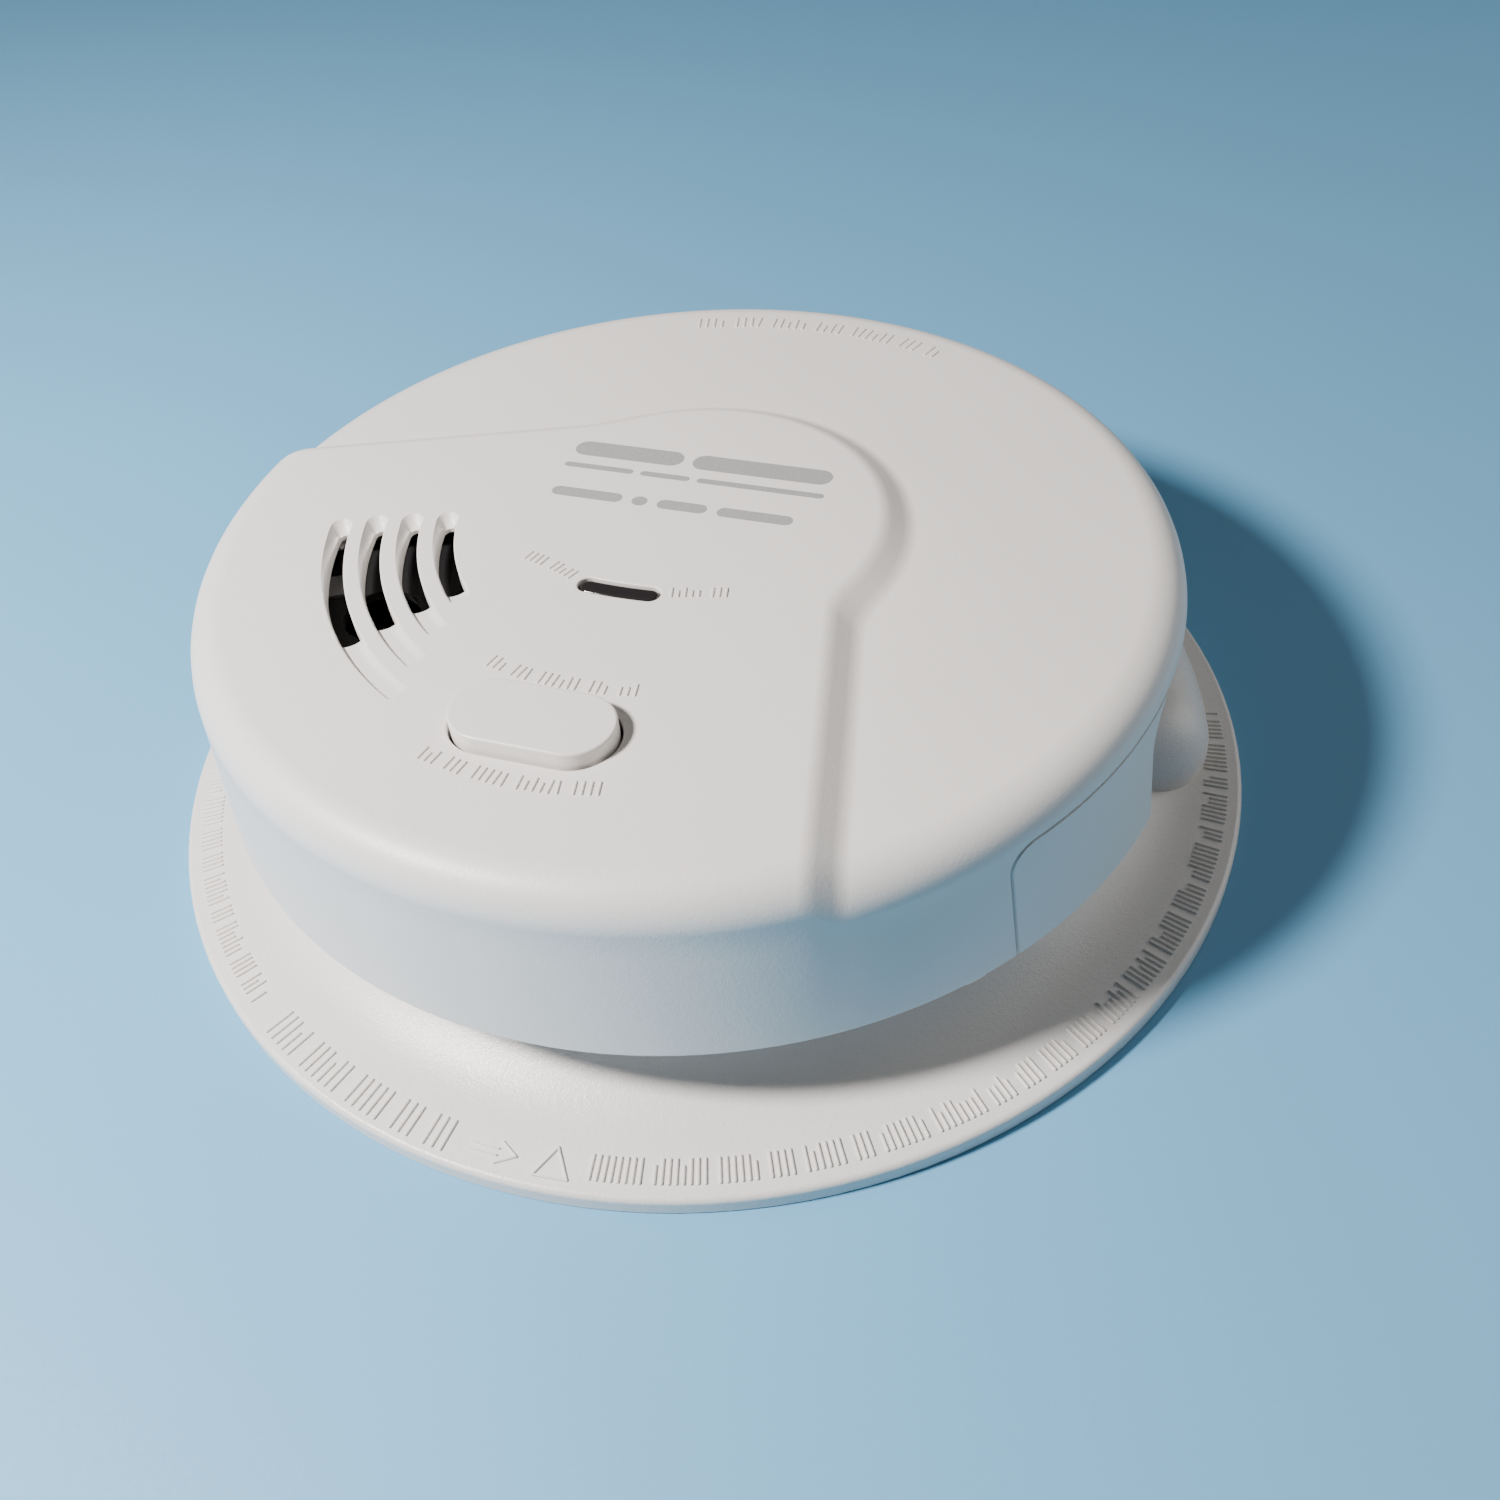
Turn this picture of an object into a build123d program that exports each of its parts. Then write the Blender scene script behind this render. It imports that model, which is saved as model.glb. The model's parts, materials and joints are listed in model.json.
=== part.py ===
from build123d import *
import math
import os

# Mains-powered smoke alarm with a battery drawer, seated on a flared trim ring.
# Millimetres. +Z points out of the alarm's face, away from the ceiling. The origin is the centre
# of the trim ring's back face. +Y is the "up" direction of the face: test button at -Y.

# ---------------------------------------------------------------- driving dimensions
RING_R = 76.2            # trim ring, 6 in across
RING_LIP_H = 2.5         # height of its outer lip
RING_LIP_ROUND = 0.8
RING_SKIN = 2.0          # moulded wall of the ring
RING_RIB_R = 62.8        # stiffening rib under the cove
COVE_START_R = 70.4      # the flat marking band ends here and the cove begins
COVE_R = 15.8            # radius of the concave cove
WELL_R = 54.6            # inside of the ring's upright well wall
WELL_TOP = 12.3          # top of the well wall
FLOOR_T = 2.5            # ring's screw floor
WIRE_HOLE_R = 29.0       # wiring opening in the floor
BAND_INNER_H = 2.9       # height of the marking band where the cove begins
WELL_ROUND = 0.4
UNDER_Z = 0.9            # underside of the marking band

BODY_RIM_R = 66.1        # cover, at its lower rim
BODY_TOP_R = 64.5        # cover, where the wall meets the edge round
RIM_Z = 15.9             # lower rim of the cover
FACE_Z = 37.6            # flat face
EDGE_ROUND = 5.2         # edge round of the face
PLATEAU_H = 1.8          # raised field above the face
PLATEAU_SLOPE = 5.2      # plan width of the field's sloped border
COVER_T = 2.0            # cover wall

HEAD_XY = (0.0, 1.0)     # round head of the raised field
HEAD_R = 25.0
EDGE_A_POINT = (22.0, -9.7)
EDGE_A_DIR = -77.8       # degrees, right-hand border of the field
EDGE_B_POINT = (-27.1, 15.3)
EDGE_B_DIR = 200.5       # degrees, upper left border of the field

DISH_R = 53.0            # rear housing's round dish, turns inside the ring's well
BACK_Z = 4.0             # its back face
WALL = 2.0
FLANGE_R = 63.3          # flange that closes the cover from below
FLANGE_Z = 16.2

SLOT_CENTRE = (0.9, 2.4)
SLOT_RADII = (33.1, 37.9, 42.7, 47.4)
SLOT_W = 2.5
SLOT_TOP_A = -162.9      # degrees, common start of the sounder slots
SLOT_END_A = (-136.0, -134.7, -133.6, -132.7)
SLOT_DISH = 1.9          # length of the dished ramp above each slot
DISH_DEPTH = 0.9
GROOVE_END_A = (-132.3, -125.9, -121.1, -117.0)
GROOVE_DEPTH = 0.5
POCKET_Z = 38.1          # the cover is thinner behind the slots
POCKET_R = (30.4, 50.1)
POCKET_A = (-168.3, -129.0)

WINDOW_XY = (-2.8, -15.8)
WINDOW_BEND_R = 60.0
WINDOW_HALF_A = 3.9
WINDOW_W = 2.8
LED_X = (WINDOW_XY[0] - 3.2, WINDOW_XY[0] + 3.2)
LENS_LIP_T = 1.2

BUTTON_XY = (-2.8, -41.2)
BUTTON_L = 20.0
BUTTON_W = 10.0
BUTTON_TOP = 41.4
BUTTON_GAP = 0.35
BUTTON_EDGE = 0.6        # round of its upper edge
BUTTON_LIP = 1.2         # width and thickness of the lip that holds it in
BUTTON_STEM_R = 1.5
BUTTON_TRAVEL = 1.2

DRAWER_DIR = -3.5        # degrees, direction in which the drawer pulls out
DRAWER_HALF = 36.4       # half width of the drawer
DRAWER_GAP = 0.35
DRAWER_TOP = 32.2
DRAWER_SIDE_TOP = 27.5   # side and back walls are lower than the front
WEB_R = 62.5
DRAWER_CORNER = 3.0      # round of the face's upper corner
GRIP_EDGE_T = -11.0      # sideways place of the grip edge, from the drawer's centre line
GRIP_RADIUS = 6.0        # round in the grip's upper corner
GRIP_TIP = 1.9           # the face ends this far before that round meets the top
CHORD_N = 54.9           # flat front of the drawer
DRAWER_BACK_N = 25.0
DRAWER_WALL = 1.5
DRAWER_FLOOR_Z = 13.5
DRAWER_FLOOR_T = 1.0
BAY_FLOOR_T = 1.2
BAY_TOP = 34.8
BAY_CLEAR_R = 61.0       # bay walls stay inside the cover's rounded edge
BAY_BACK_N = 23.0
BAY_CLEARANCE = 0.3

FACE_DEPTH = 15.0        # the curved face lies outward of the flat front less this
FRONT_T = 1.6            # thickness of the flat front
BACK_T = 1.3

BATTERY = (26.5, 48.5, 17.5)   # depth, length, height of a 9 V block
BATTERY_T0 = -31.5             # its blind end, sideways
BATTERY_T1 = BATTERY_T0 + BATTERY[1]
BATTERY_BACK_N = DRAWER_BACK_N + 1.5
BATTERY_MID_Z = DRAWER_FLOOR_Z + DRAWER_FLOOR_T + BATTERY[2] / 2
DIVIDER_T = BATTERY_T1 + 0.2
PLATE_T = 22.0           # fixed contact plate, sideways
TERMINAL_PITCH = 12.7
TERMINAL_H = 2.6

BOARD_Z = 19.0
BOARD_T = 1.6
BOARD_R = 53.4
BOARD_TOP = BOARD_Z + BOARD_T
BOARD_LIMIT_N = 22.4

CHAMBER_XY = (0.0, 9.0)
CHAMBER_R = 18.6
HORN_XY = (-34.0, -22.0)
HORN_R = 16.8
HORN_TOP = 35.0
CLIP_A = -154.6          # degrees, radial clip over the horn
CLIP_R = (45.4, 59.2)
CLIP_W = 4.2
CLIP_T = 0.4
ION_XY = (-14.0, 38.0)
SWITCH_XY = BUTTON_XY
SOCKET_XY = (0.0, -8.0)
SOCKET_IN = (26.0, 14.0)
SOCKET_WALL = 1.8
SOCKET_TOP = 15.0
PIN_PITCH = 8.0

INLET_COUNT = 35
INLET_START_A = 52.0     # degrees
INLET_STEP_A = 7.5
INLET_W = 2.8
INLET_Z = (8.6, 15.0)

HOOK_R = (43.9, 47.1)
HOOK_ANGLES = (45, 135, 225, 315)
HOOK_HALF_A = 3.0
HOOK_LIP_A = 9.5
TWIST = 15.0             # turn that frees the alarm, counter-clockwise from the face

BOX_SCREW_X = 88.9 / 2   # 3.5 in screw spacing
BOX_SCREW_Y = 69.85 / 2  # 2.75 in screw spacing
BOX_SLOT_L = 9.0
BOX_SLOT_W = 4.6

PAD_A = (0.0, 48.0)      # degrees, raised pad on the ring below the drawer
PAD_R = 71.6
PAD_CORNER = 11.0
PAD_EDGE = 8.0           # round of its outer upper edge

COVER_SCREW_A = (50, 115, 180, 250, 300)
CATCH_R = (63.6, 65.3)
CATCH_A = (-43.0, -40.6)
CATCH_Z = (14.2, 17.4)

COVER_SCREW_R = 57.3
BOARD_SCREWS = ((18.0, 31.2), (-35.5, 6.3), (9.3, -34.8))

FAR = 200.0


# ---------------------------------------------------------------- shape helpers
def disc(r, z0, z1, xy=(0, 0)):
    return Pos(xy[0], xy[1], z0) * Cylinder(r, z1 - z0, align=(Align.CENTER, Align.CENTER, Align.MIN))


def tube(r_out, r_in, z0, z1, xy=(0, 0)):
    return disc(r_out, z0, z1, xy) - disc(r_in, z0 - 1, z1 + 1, xy)


def block(x0, x1, y0, y1, z0, z1):
    return Pos((x0 + x1) / 2, (y0 + y1) / 2, (z0 + z1) / 2) * Box(x1 - x0, y1 - y0, z1 - z0)


def spun(points, arc=360.0, start=0.0):
    """Revolve a closed outline of (radius, height) points about Z."""
    corners = [(r, 0, z) for r, z in points]
    outline = make_face(Polyline(*corners, close=True))
    return Rot(0, 0, start) * revolve(outline, Axis.Z, arc)


def sector(r_in, r_out, a0, a1, z0, z1, centre=(0, 0)):
    ring = spun([(r_in, z0), (r_out, z0), (r_out, z1), (r_in, z1)], a1 - a0, a0)
    return Pos(centre[0], centre[1], 0) * ring


def polar(r, a, centre=(0, 0)):
    return (centre[0] + r * math.cos(math.radians(a)), centre[1] + r * math.sin(math.radians(a)))


def arc_slot(centre, r, width, a0, a1, z0, z1):
    """Curved slot with round ends."""
    slot = sector(r - width / 2, r + width / 2, a0, a1, z0, z1, centre)
    for a in (a0, a1):
        slot += disc(width / 2, z0, z1, polar(r, a, centre))
    return slot


def obround(length, width, z0, z1, xy=(0, 0), angle=0):
    flat = Rot(0, 0, angle) * SlotOverall(length, width)
    return Pos(xy[0], xy[1], z0) * extrude(flat, z1 - z0)


def in_drawer(shape):
    """Turn a shape drawn with X outward and Y sideways into the drawer's direction."""
    return Rot(0, 0, DRAWER_DIR) * shape


# ---------------------------------------------------------------- trim ring
def cove_height(r):
    return BAND_INNER_H + COVE_R - math.sqrt(COVE_R ** 2 - (COVE_START_R - r) ** 2)


def ring_shell():
    cove_top_r = COVE_START_R - math.sqrt(COVE_R ** 2 - (COVE_R + BAND_INNER_H - WELL_TOP) ** 2)
    mid_r = (COVE_START_R + cove_top_r) / 2
    diagonal = RING_LIP_ROUND * math.sqrt(0.5)
    round_r = RING_R - RING_LIP_ROUND
    round_z = RING_LIP_H - RING_LIP_ROUND
    outside = Line((RING_R, 0, 0), (RING_R, 0, round_z))
    lip = ThreePointArc(
        (RING_R, 0, round_z), (round_r + diagonal, 0, round_z + diagonal), (round_r, 0, RING_LIP_H)
    )
    band = Line((round_r, 0, RING_LIP_H), (COVE_START_R, 0, BAND_INNER_H))
    cove = ThreePointArc(
        (COVE_START_R, 0, BAND_INNER_H), (mid_r, 0, cove_height(mid_r)), (cove_top_r, 0, WELL_TOP)
    )
    well_out = WELL_R + RING_SKIN
    belly_top = WELL_TOP - 1.6 * RING_SKIN
    belly_r = COVE_START_R - 0.5
    inner = Polyline(
        (cove_top_r, 0, WELL_TOP), (WELL_R + WELL_ROUND, 0, WELL_TOP), (WELL_R, 0, WELL_TOP - WELL_ROUND),
        (WELL_R, 0, FLOOR_T), (WIRE_HOLE_R, 0, FLOOR_T), (WIRE_HOLE_R, 0, 0), (well_out, 0, 0),
        (well_out, 0, belly_top),
    )
    belly_mid = (mid_r - 0.6, 0, cove_height(mid_r) - 1.35 * RING_SKIN)
    belly = ThreePointArc((well_out, 0, belly_top), belly_mid, (belly_r, 0, UNDER_Z))
    foot_r = RING_R - 0.9 * RING_SKIN
    back = Polyline((belly_r, 0, UNDER_Z), (foot_r, 0, UNDER_Z - 0.2), (foot_r, 0, 0), (RING_R, 0, 0))
    outline = make_face([outside, lip, band, cove, inner, belly, back])
    return revolve(outline, Axis.Z)


def pad_prism(inset, z0, z1):
    """Raised pad: part of a ring between two angles, with large round outer corners."""
    a0 = PAD_A[0] + math.degrees(inset / PAD_R)
    a1 = PAD_A[1] - math.degrees(inset / PAD_R)
    inner_r = WELL_R + 0.6 + inset
    prism = sector(inner_r, PAD_R - inset, a0, a1, z0, z1)
    outer = prism.faces().sort_by(lambda f: -math.hypot(f.center().X, f.center().Y))[0]
    edges = [e for e in outer.edges() if abs(e.bounding_box().size.Z - (z1 - z0)) < 1e-3]
    prism = fillet(edges, PAD_CORNER - inset)
    top = prism.edges().group_by(Axis.Z)[-1]
    rounded = [e for e in top if math.hypot((e @ 0.5).X, (e @ 0.5).Y) > inner_r + 1]
    return fillet(rounded, PAD_EDGE - inset)


def trim_ring():
    pad = pad_prism(0.0, 2.0, WELL_TOP)
    rib_top = cove_height(RING_RIB_R) - RING_SKIN / 2
    ring = ring_shell() + pad
    ring -= pad_prism(RING_SKIN, -1.0, WELL_TOP - RING_SKIN)
    ring += tube(RING_RIB_R + RING_SKIN / 2, RING_RIB_R - RING_SKIN / 2, 0, rib_top)
    for side in (-1, 1):
        ring -= obround(BOX_SLOT_L, BOX_SLOT_W, -1, FLOOR_T + 1, (side * BOX_SCREW_X, 0))
        ring -= obround(BOX_SLOT_L, BOX_SLOT_W, -1, FLOOR_T + 1, (0, side * BOX_SCREW_Y), 90)
    hook_top = BACK_Z + WALL + 2.3
    for a in HOOK_ANGLES:
        ring += sector(*HOOK_R, a - HOOK_HALF_A, a + HOOK_HALF_A, FLOOR_T, hook_top)
        ring += sector(*HOOK_R, a, a + HOOK_LIP_A, BACK_Z + WALL + 0.3, hook_top)
    return ring


# ---------------------------------------------------------------- rear housing
def battery_bay():
    """Walls and floor round the drawer's space, open outward."""
    inner = DRAWER_HALF + DRAWER_GAP
    outer = inner + DRAWER_WALL
    floor_top = DRAWER_FLOOR_Z - BAY_CLEARANCE
    bay = block(BAY_BACK_N, FAR, -outer, outer, floor_top - BAY_FLOOR_T, BAY_TOP)
    bay -= block(BAY_BACK_N + DRAWER_WALL, FAR, -inner, inner, floor_top, FAR)
    # slot that holds the contact plate in the back wall
    bay -= block(BAY_BACK_N + 0.7, BAY_BACK_N + DRAWER_WALL + 1, PLATE_T - 0.1, PLATE_T + 1.6,
                 DRAWER_FLOOR_Z + 3, FAR)
    low = disc(DISH_R, 0, FLANGE_Z)
    middle = disc(FLANGE_R, FLANGE_Z, FLANGE_Z + WALL)
    high = disc(BAY_CLEAR_R, FLANGE_Z + WALL, FAR)
    return in_drawer(bay) & (low + middle + high)


def rear_housing():
    pan = spun([
        (0, BACK_Z), (DISH_R, BACK_Z), (DISH_R, FLANGE_Z), (FLANGE_R, FLANGE_Z), (FLANGE_R, FLANGE_Z + WALL),
        (DISH_R - WALL, FLANGE_Z + WALL), (DISH_R - WALL, BACK_Z + WALL), (0, BACK_Z + WALL),
    ])
    side = DRAWER_HALF + DRAWER_GAP + DRAWER_WALL
    bay_bottom = DRAWER_FLOOR_Z - BAY_CLEARANCE - BAY_FLOOR_T
    pan -= in_drawer(block(BAY_BACK_N, FAR, -side, side, bay_bottom, FAR))
    # smoke inlets round the dish wall, apart from the stretch under the drawer
    for i in range(INLET_COUNT):
        a = INLET_START_A + i * INLET_STEP_A
        pan -= Rot(0, 0, a) * block(DISH_R - WALL - 0.9, DISH_R + 1, -INLET_W / 2, INLET_W / 2, *INLET_Z)
    # curved windows for the ring's hooks
    for a in HOOK_ANGLES:
        pan -= sector(HOOK_R[0] - 0.5, HOOK_R[1] + 0.5, a - TWIST - HOOK_HALF_A - 1.0, a + HOOK_HALF_A + 0.6,
                      BACK_Z - 1, BACK_Z + WALL + 1)
    # opening for the power socket
    sx, sy = SOCKET_IN[0] / 2 + SOCKET_WALL, SOCKET_IN[1] / 2 + SOCKET_WALL
    x, y = SOCKET_XY
    pan -= block(x - sx, x + sx, y - sy, y + sy, BACK_Z - 1, BACK_Z + WALL + 1)
    for a in COVER_SCREW_A:
        pan -= disc(1.7, FLANGE_Z - 1, FLANGE_Z + WALL + 1, polar(COVER_SCREW_R, a))
    return pan


def board_spacers():
    return Compound([tube(3.2, 1.2, BACK_Z + WALL, BOARD_Z, xy) for xy in BOARD_SCREWS])


def power_socket():
    x, y = SOCKET_XY
    ix, iy = SOCKET_IN[0] / 2, SOCKET_IN[1] / 2
    shell = block(x - ix - SOCKET_WALL, x + ix + SOCKET_WALL, y - iy - SOCKET_WALL, y + iy + SOCKET_WALL,
                  BACK_Z, SOCKET_TOP)
    shell += block(x - ix - 3, x + ix + 3, y - iy - 3, y + iy + 3, BACK_Z + WALL, BACK_Z + WALL + 1.5)
    shell -= block(x - ix, x + ix, y - iy, y + iy, BACK_Z - 1, SOCKET_TOP - SOCKET_WALL)
    for i in (-1, 0, 1):
        shell -= pin_blade(i, 0, 60)
    return shell


def pin_blade(i, z0, z1):
    x, y = SOCKET_XY[0] + i * PIN_PITCH, SOCKET_XY[1]
    return block(x - 1.6, x + 1.6, y - 0.5, y + 0.5, z0, z1)


def power_pins():
    return Compound([pin_blade(i, BACK_Z + 1.5, BOARD_TOP) for i in (-1, 0, 1)])


def rear_label():
    return block(-15, 15, 8.5, 23.5, BACK_Z - 0.2, BACK_Z)


def cover_screws():
    screws = []
    for a in COVER_SCREW_A:
        xy = polar(COVER_SCREW_R, a)
        screw = disc(2.9, FLANGE_Z - 1.9, FLANGE_Z, xy) + disc(1.35, FLANGE_Z, FLANGE_Z + 9, xy)
        x, y = xy
        screw -= block(x - 2, x + 2, y - 0.35, y + 0.35, FLANGE_Z - 2.5, FLANGE_Z - 1.0)
        screw -= block(x - 0.35, x + 0.35, y - 2, y + 2, FLANGE_Z - 2.5, FLANGE_Z - 1.0)
        screws.append(screw)
    return Compound(screws)


# ---------------------------------------------------------------- front cover
def cover_profile(top, drop=0.0):
    """Solid inside the cover's outer outline up to a face height, shrunk by a wall thickness."""
    foot_z = RIM_Z - drop / 2
    rim_r = BODY_RIM_R - drop
    wall_r = BODY_TOP_R - drop
    edge = EDGE_ROUND - drop
    face_z = top - drop
    face_r = wall_r - edge
    diagonal = math.sqrt(0.5) * edge
    lines = [
        Line((0, 0, foot_z), (rim_r, 0, foot_z)),
        Line((rim_r, 0, foot_z), (wall_r, 0, face_z - edge)),
        ThreePointArc(
            (wall_r, 0, face_z - edge), (face_r + diagonal, 0, face_z - edge + diagonal), (face_r, 0, face_z)
        ),
        Line((face_r, 0, face_z), (0, 0, face_z)),
        Line((0, 0, face_z), (0, 0, foot_z)),
    ]
    return revolve(make_face(lines), Axis.Z)


def field_wedge(grow):
    """Outline of the wide part of the raised field, grown by a plan distance."""
    ax, ay = EDGE_A_POINT
    bx, by = EDGE_B_POINT
    da = math.radians(EDGE_A_DIR)
    db = math.radians(EDGE_B_DIR)
    # unit vectors that point out of the field across each border
    out_a = (-math.sin(da), math.cos(da))
    out_b = (math.sin(db), -math.cos(db))
    a = (ax + out_a[0] * grow, ay + out_a[1] * grow)
    b = (bx + out_b[0] * grow, by + out_b[1] * grow)
    a_in = (a[0] - 12 * math.cos(da), a[1] - 12 * math.sin(da))
    b_in = (b[0] - 12 * math.cos(db), b[1] - 12 * math.sin(db))
    a_far = (a[0] + 70 * math.cos(da), a[1] + 70 * math.sin(da))
    b_far = (b[0] + 60 * math.cos(db), b[1] + 60 * math.sin(db))
    return [a_in, b_in, b_far, (-90, -90), a_far]


def raised_field():
    foot = field_wedge(PLATEAU_SLOPE)
    crest = field_wedge(0.0)
    low = make_face(Polyline(*[(x, y, FACE_Z) for x, y in foot], close=True))
    high = make_face(Polyline(*[(x, y, FACE_Z + PLATEAU_H) for x, y in crest], close=True))
    wedge = loft([low, high], ruled=True)
    wedge += extrude(make_face(Polyline(*[(x, y, RIM_Z + 8) for x, y in foot], close=True)),
                     FACE_Z - RIM_Z - 8, dir=(0, 0, 1))
    head = Pos(HEAD_XY[0], HEAD_XY[1], FACE_Z) * Cone(
        HEAD_R + PLATEAU_SLOPE, HEAD_R, PLATEAU_H, align=(Align.CENTER, Align.CENTER, Align.MIN)
    )
    head += disc(HEAD_R + PLATEAU_SLOPE, FACE_Z - 1, FACE_Z, HEAD_XY)
    return (wedge + head) & cover_profile(FACE_Z + PLATEAU_H)


def drawer_window(gap):
    """Opening in the cover for the drawer, with rounded upper corners."""
    half = DRAWER_HALF + gap
    top = DRAWER_TOP + gap
    opening = block(40, FAR, -half, half, 0, top)
    corners = [e for e in opening.edges().filter_by(Axis.X) if e.center().Z > top - 1]
    return in_drawer(fillet(corners, DRAWER_CORNER + gap))


def slot_opening(r, end):
    """One sounder slot with its dished upper end and the shallow groove beyond its lower end."""
    through = arc_slot(SLOT_CENTRE, r, SLOT_W, SLOT_TOP_A, end, POCKET_Z - 1, FAR)
    dish_a = SLOT_TOP_A - math.degrees(SLOT_DISH / r)
    field_z = FACE_Z + PLATEAU_H
    return through + arc_slot(SLOT_CENTRE, r, SLOT_W, dish_a, SLOT_TOP_A + 10, field_z - DISH_DEPTH, FAR)


def front_cover():
    cover = cover_profile(FACE_Z) + raised_field()
    cover -= cover_profile(FACE_Z, COVER_T)
    for a in COVER_SCREW_A:
        xy = polar(COVER_SCREW_R, a)
        cover += disc(3.1, FLANGE_Z + WALL, FACE_Z - 1, xy) - disc(1.45, FLANGE_Z, FLANGE_Z + 11, xy)
    cover -= drawer_window(DRAWER_GAP)
    cover -= sector(*POCKET_R, *POCKET_A, FACE_Z - COVER_T - 1, POCKET_Z, SLOT_CENTRE)
    groove_z = FACE_Z + PLATEAU_H - GROOVE_DEPTH
    for r, end, groove_end in zip(SLOT_RADII, SLOT_END_A, GROOVE_END_A):
        cover -= slot_opening(r, end)
        cover -= arc_slot(SLOT_CENTRE, r, SLOT_W, end - 1, groove_end, groove_z, FAR)
    cover -= window_shape(WINDOW_W, 30, FAR)
    cover -= obround(BUTTON_L + 2 * BUTTON_GAP, BUTTON_W + 2 * BUTTON_GAP, 30, FAR, BUTTON_XY)
    # small catch under the rim beside the drawer
    cover += sector(*CATCH_R, *CATCH_A, *CATCH_Z)
    return cover


def window_shape(width, z0, z1):
    centre = (WINDOW_XY[0], WINDOW_XY[1] + WINDOW_BEND_R)
    return arc_slot(centre, WINDOW_BEND_R, width, -90 - WINDOW_HALF_A, -90 + WINDOW_HALF_A, z0, z1)


def light_pipe():
    under = FACE_Z - COVER_T
    lens = window_shape(WINDOW_W - 0.2, under - 0.6, FACE_Z + PLATEAU_H - 0.35)
    lens += window_shape(WINDOW_W + 1.6, under - LENS_LIP_T, under)
    for x in LED_X:
        lens += disc(1.6, BOARD_TOP + 5.4, under - 0.5, (x, WINDOW_XY[1]))
    return lens


def indicator_led(x):
    y = WINDOW_XY[1]
    lamp = disc(1.9, BOARD_TOP, BOARD_TOP + 1.0, (x, y)) + disc(1.5, BOARD_TOP, BOARD_TOP + 3.6, (x, y))
    return lamp + Pos(x, y, BOARD_TOP + 3.6) * Sphere(1.5)


# ---------------------------------------------------------------- test button
def test_button():
    lip_top = FACE_Z - COVER_T - 0.3
    lip_l = BUTTON_L + 2 * BUTTON_LIP
    lip_w = BUTTON_W + 2 * BUTTON_LIP
    cap = obround(BUTTON_L, BUTTON_W, lip_top - BUTTON_LIP / 2, BUTTON_TOP, BUTTON_XY)
    cap = fillet(cap.edges().group_by(Axis.Z)[-1], BUTTON_EDGE)
    cap += obround(lip_l, lip_w, lip_top - BUTTON_LIP, lip_top, BUTTON_XY)
    cap += disc(BUTTON_STEM_R, BOARD_TOP + 6.35, lip_top, BUTTON_XY)
    return cap


def button_spring():
    foot = BOARD_TOP + 3.5 + 0.35
    length = FACE_Z - COVER_T - 1.5 - 0.35 - foot
    path = Pos(BUTTON_XY[0], BUTTON_XY[1], foot) * Helix(pitch=length / 5, height=length, radius=2.35)
    wire = Plane(origin=path @ 0, z_dir=path % 0) * Circle(0.28)
    return sweep(wire, path, is_frenet=True)


def tact_switch():
    x, y = SWITCH_XY
    body = block(x - 3, x + 3, y - 3, y + 3, BOARD_TOP, BOARD_TOP + 3.5)
    return body - disc(1.8, BOARD_TOP + 1.8, BOARD_TOP + 5, SWITCH_XY)


def switch_plunger():
    return disc(1.72, BOARD_TOP + 2.4, BOARD_TOP + 5.4, SWITCH_XY)


# ---------------------------------------------------------------- battery drawer
def upper_edges(shape, top):
    """Edges of a block along its upper side, running outward."""
    return shape.edges().filter_by(Axis.X).filter_by(lambda e: e.center().Z > top - 1)


def drawer_face():
    """Curved outer panel that continues the cover's wall, left of the grip edge."""
    shell = cover_profile(FACE_Z) - cover_profile(FACE_Z, COVER_T)
    tip_t = GRIP_EDGE_T + GRIP_RADIUS - GRIP_TIP
    keep = block(CHORD_N - FACE_DEPTH, FAR, -DRAWER_HALF, tip_t, RIM_Z + 0.1, DRAWER_TOP)
    keep = fillet(upper_edges(keep, DRAWER_TOP).sort_by(Axis.Y)[0], DRAWER_CORNER)
    grip = block(0, FAR, GRIP_EDGE_T, FAR, 0, DRAWER_TOP)
    grip = fillet(upper_edges(grip, DRAWER_TOP).sort_by(Axis.Y)[0], GRIP_RADIUS)
    return shell & in_drawer(keep - grip)


def battery_drawer():
    half = DRAWER_HALF
    floor_top = DRAWER_FLOOR_Z + DRAWER_FLOOR_T
    tray = block(DRAWER_BACK_N, CHORD_N, -half, half, DRAWER_FLOOR_Z, DRAWER_TOP)
    tray = fillet(upper_edges(tray, DRAWER_TOP), DRAWER_CORNER)
    inside = half - DRAWER_WALL
    tray -= block(DRAWER_BACK_N + BACK_T, CHORD_N - FRONT_T, -inside, inside, floor_top, FAR)
    tray -= block(0, CHORD_N - FRONT_T, -FAR, FAR, DRAWER_SIDE_TOP, FAR)
    # web and cheek that join the flat front to the curved panel
    web = block(CHORD_N - 1, FAR, -half, GRIP_EDGE_T, DRAWER_FLOOR_Z, floor_top)
    web += block(CHORD_N - 1, FAR, -half, -half + DRAWER_WALL, DRAWER_FLOOR_Z, DRAWER_TOP - 4)
    reach = disc(WEB_R, 0, RIM_Z + 1) + disc(BODY_TOP_R - 0.4, RIM_Z + 1, FAR)
    tray += web & Rot(0, 0, -DRAWER_DIR) * reach
    # divider that holds the battery's end, and the slot for the fixed contact plate
    tray += block(DRAWER_BACK_N + 1, CHORD_N - 1.3, DIVIDER_T, DIVIDER_T + 1.2, DRAWER_FLOOR_Z, floor_top + 3)
    tray -= block(DRAWER_BACK_N - 1, DRAWER_BACK_N + 2, PLATE_T - 2.6, PLATE_T + 3.0, floor_top, FAR)
    # the flat front's corners stay inside the cover's outline
    outline = cover_profile(FACE_Z) + disc(WEB_R, 0, RIM_Z)
    return (in_drawer(tray) & outline) + drawer_face()


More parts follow.
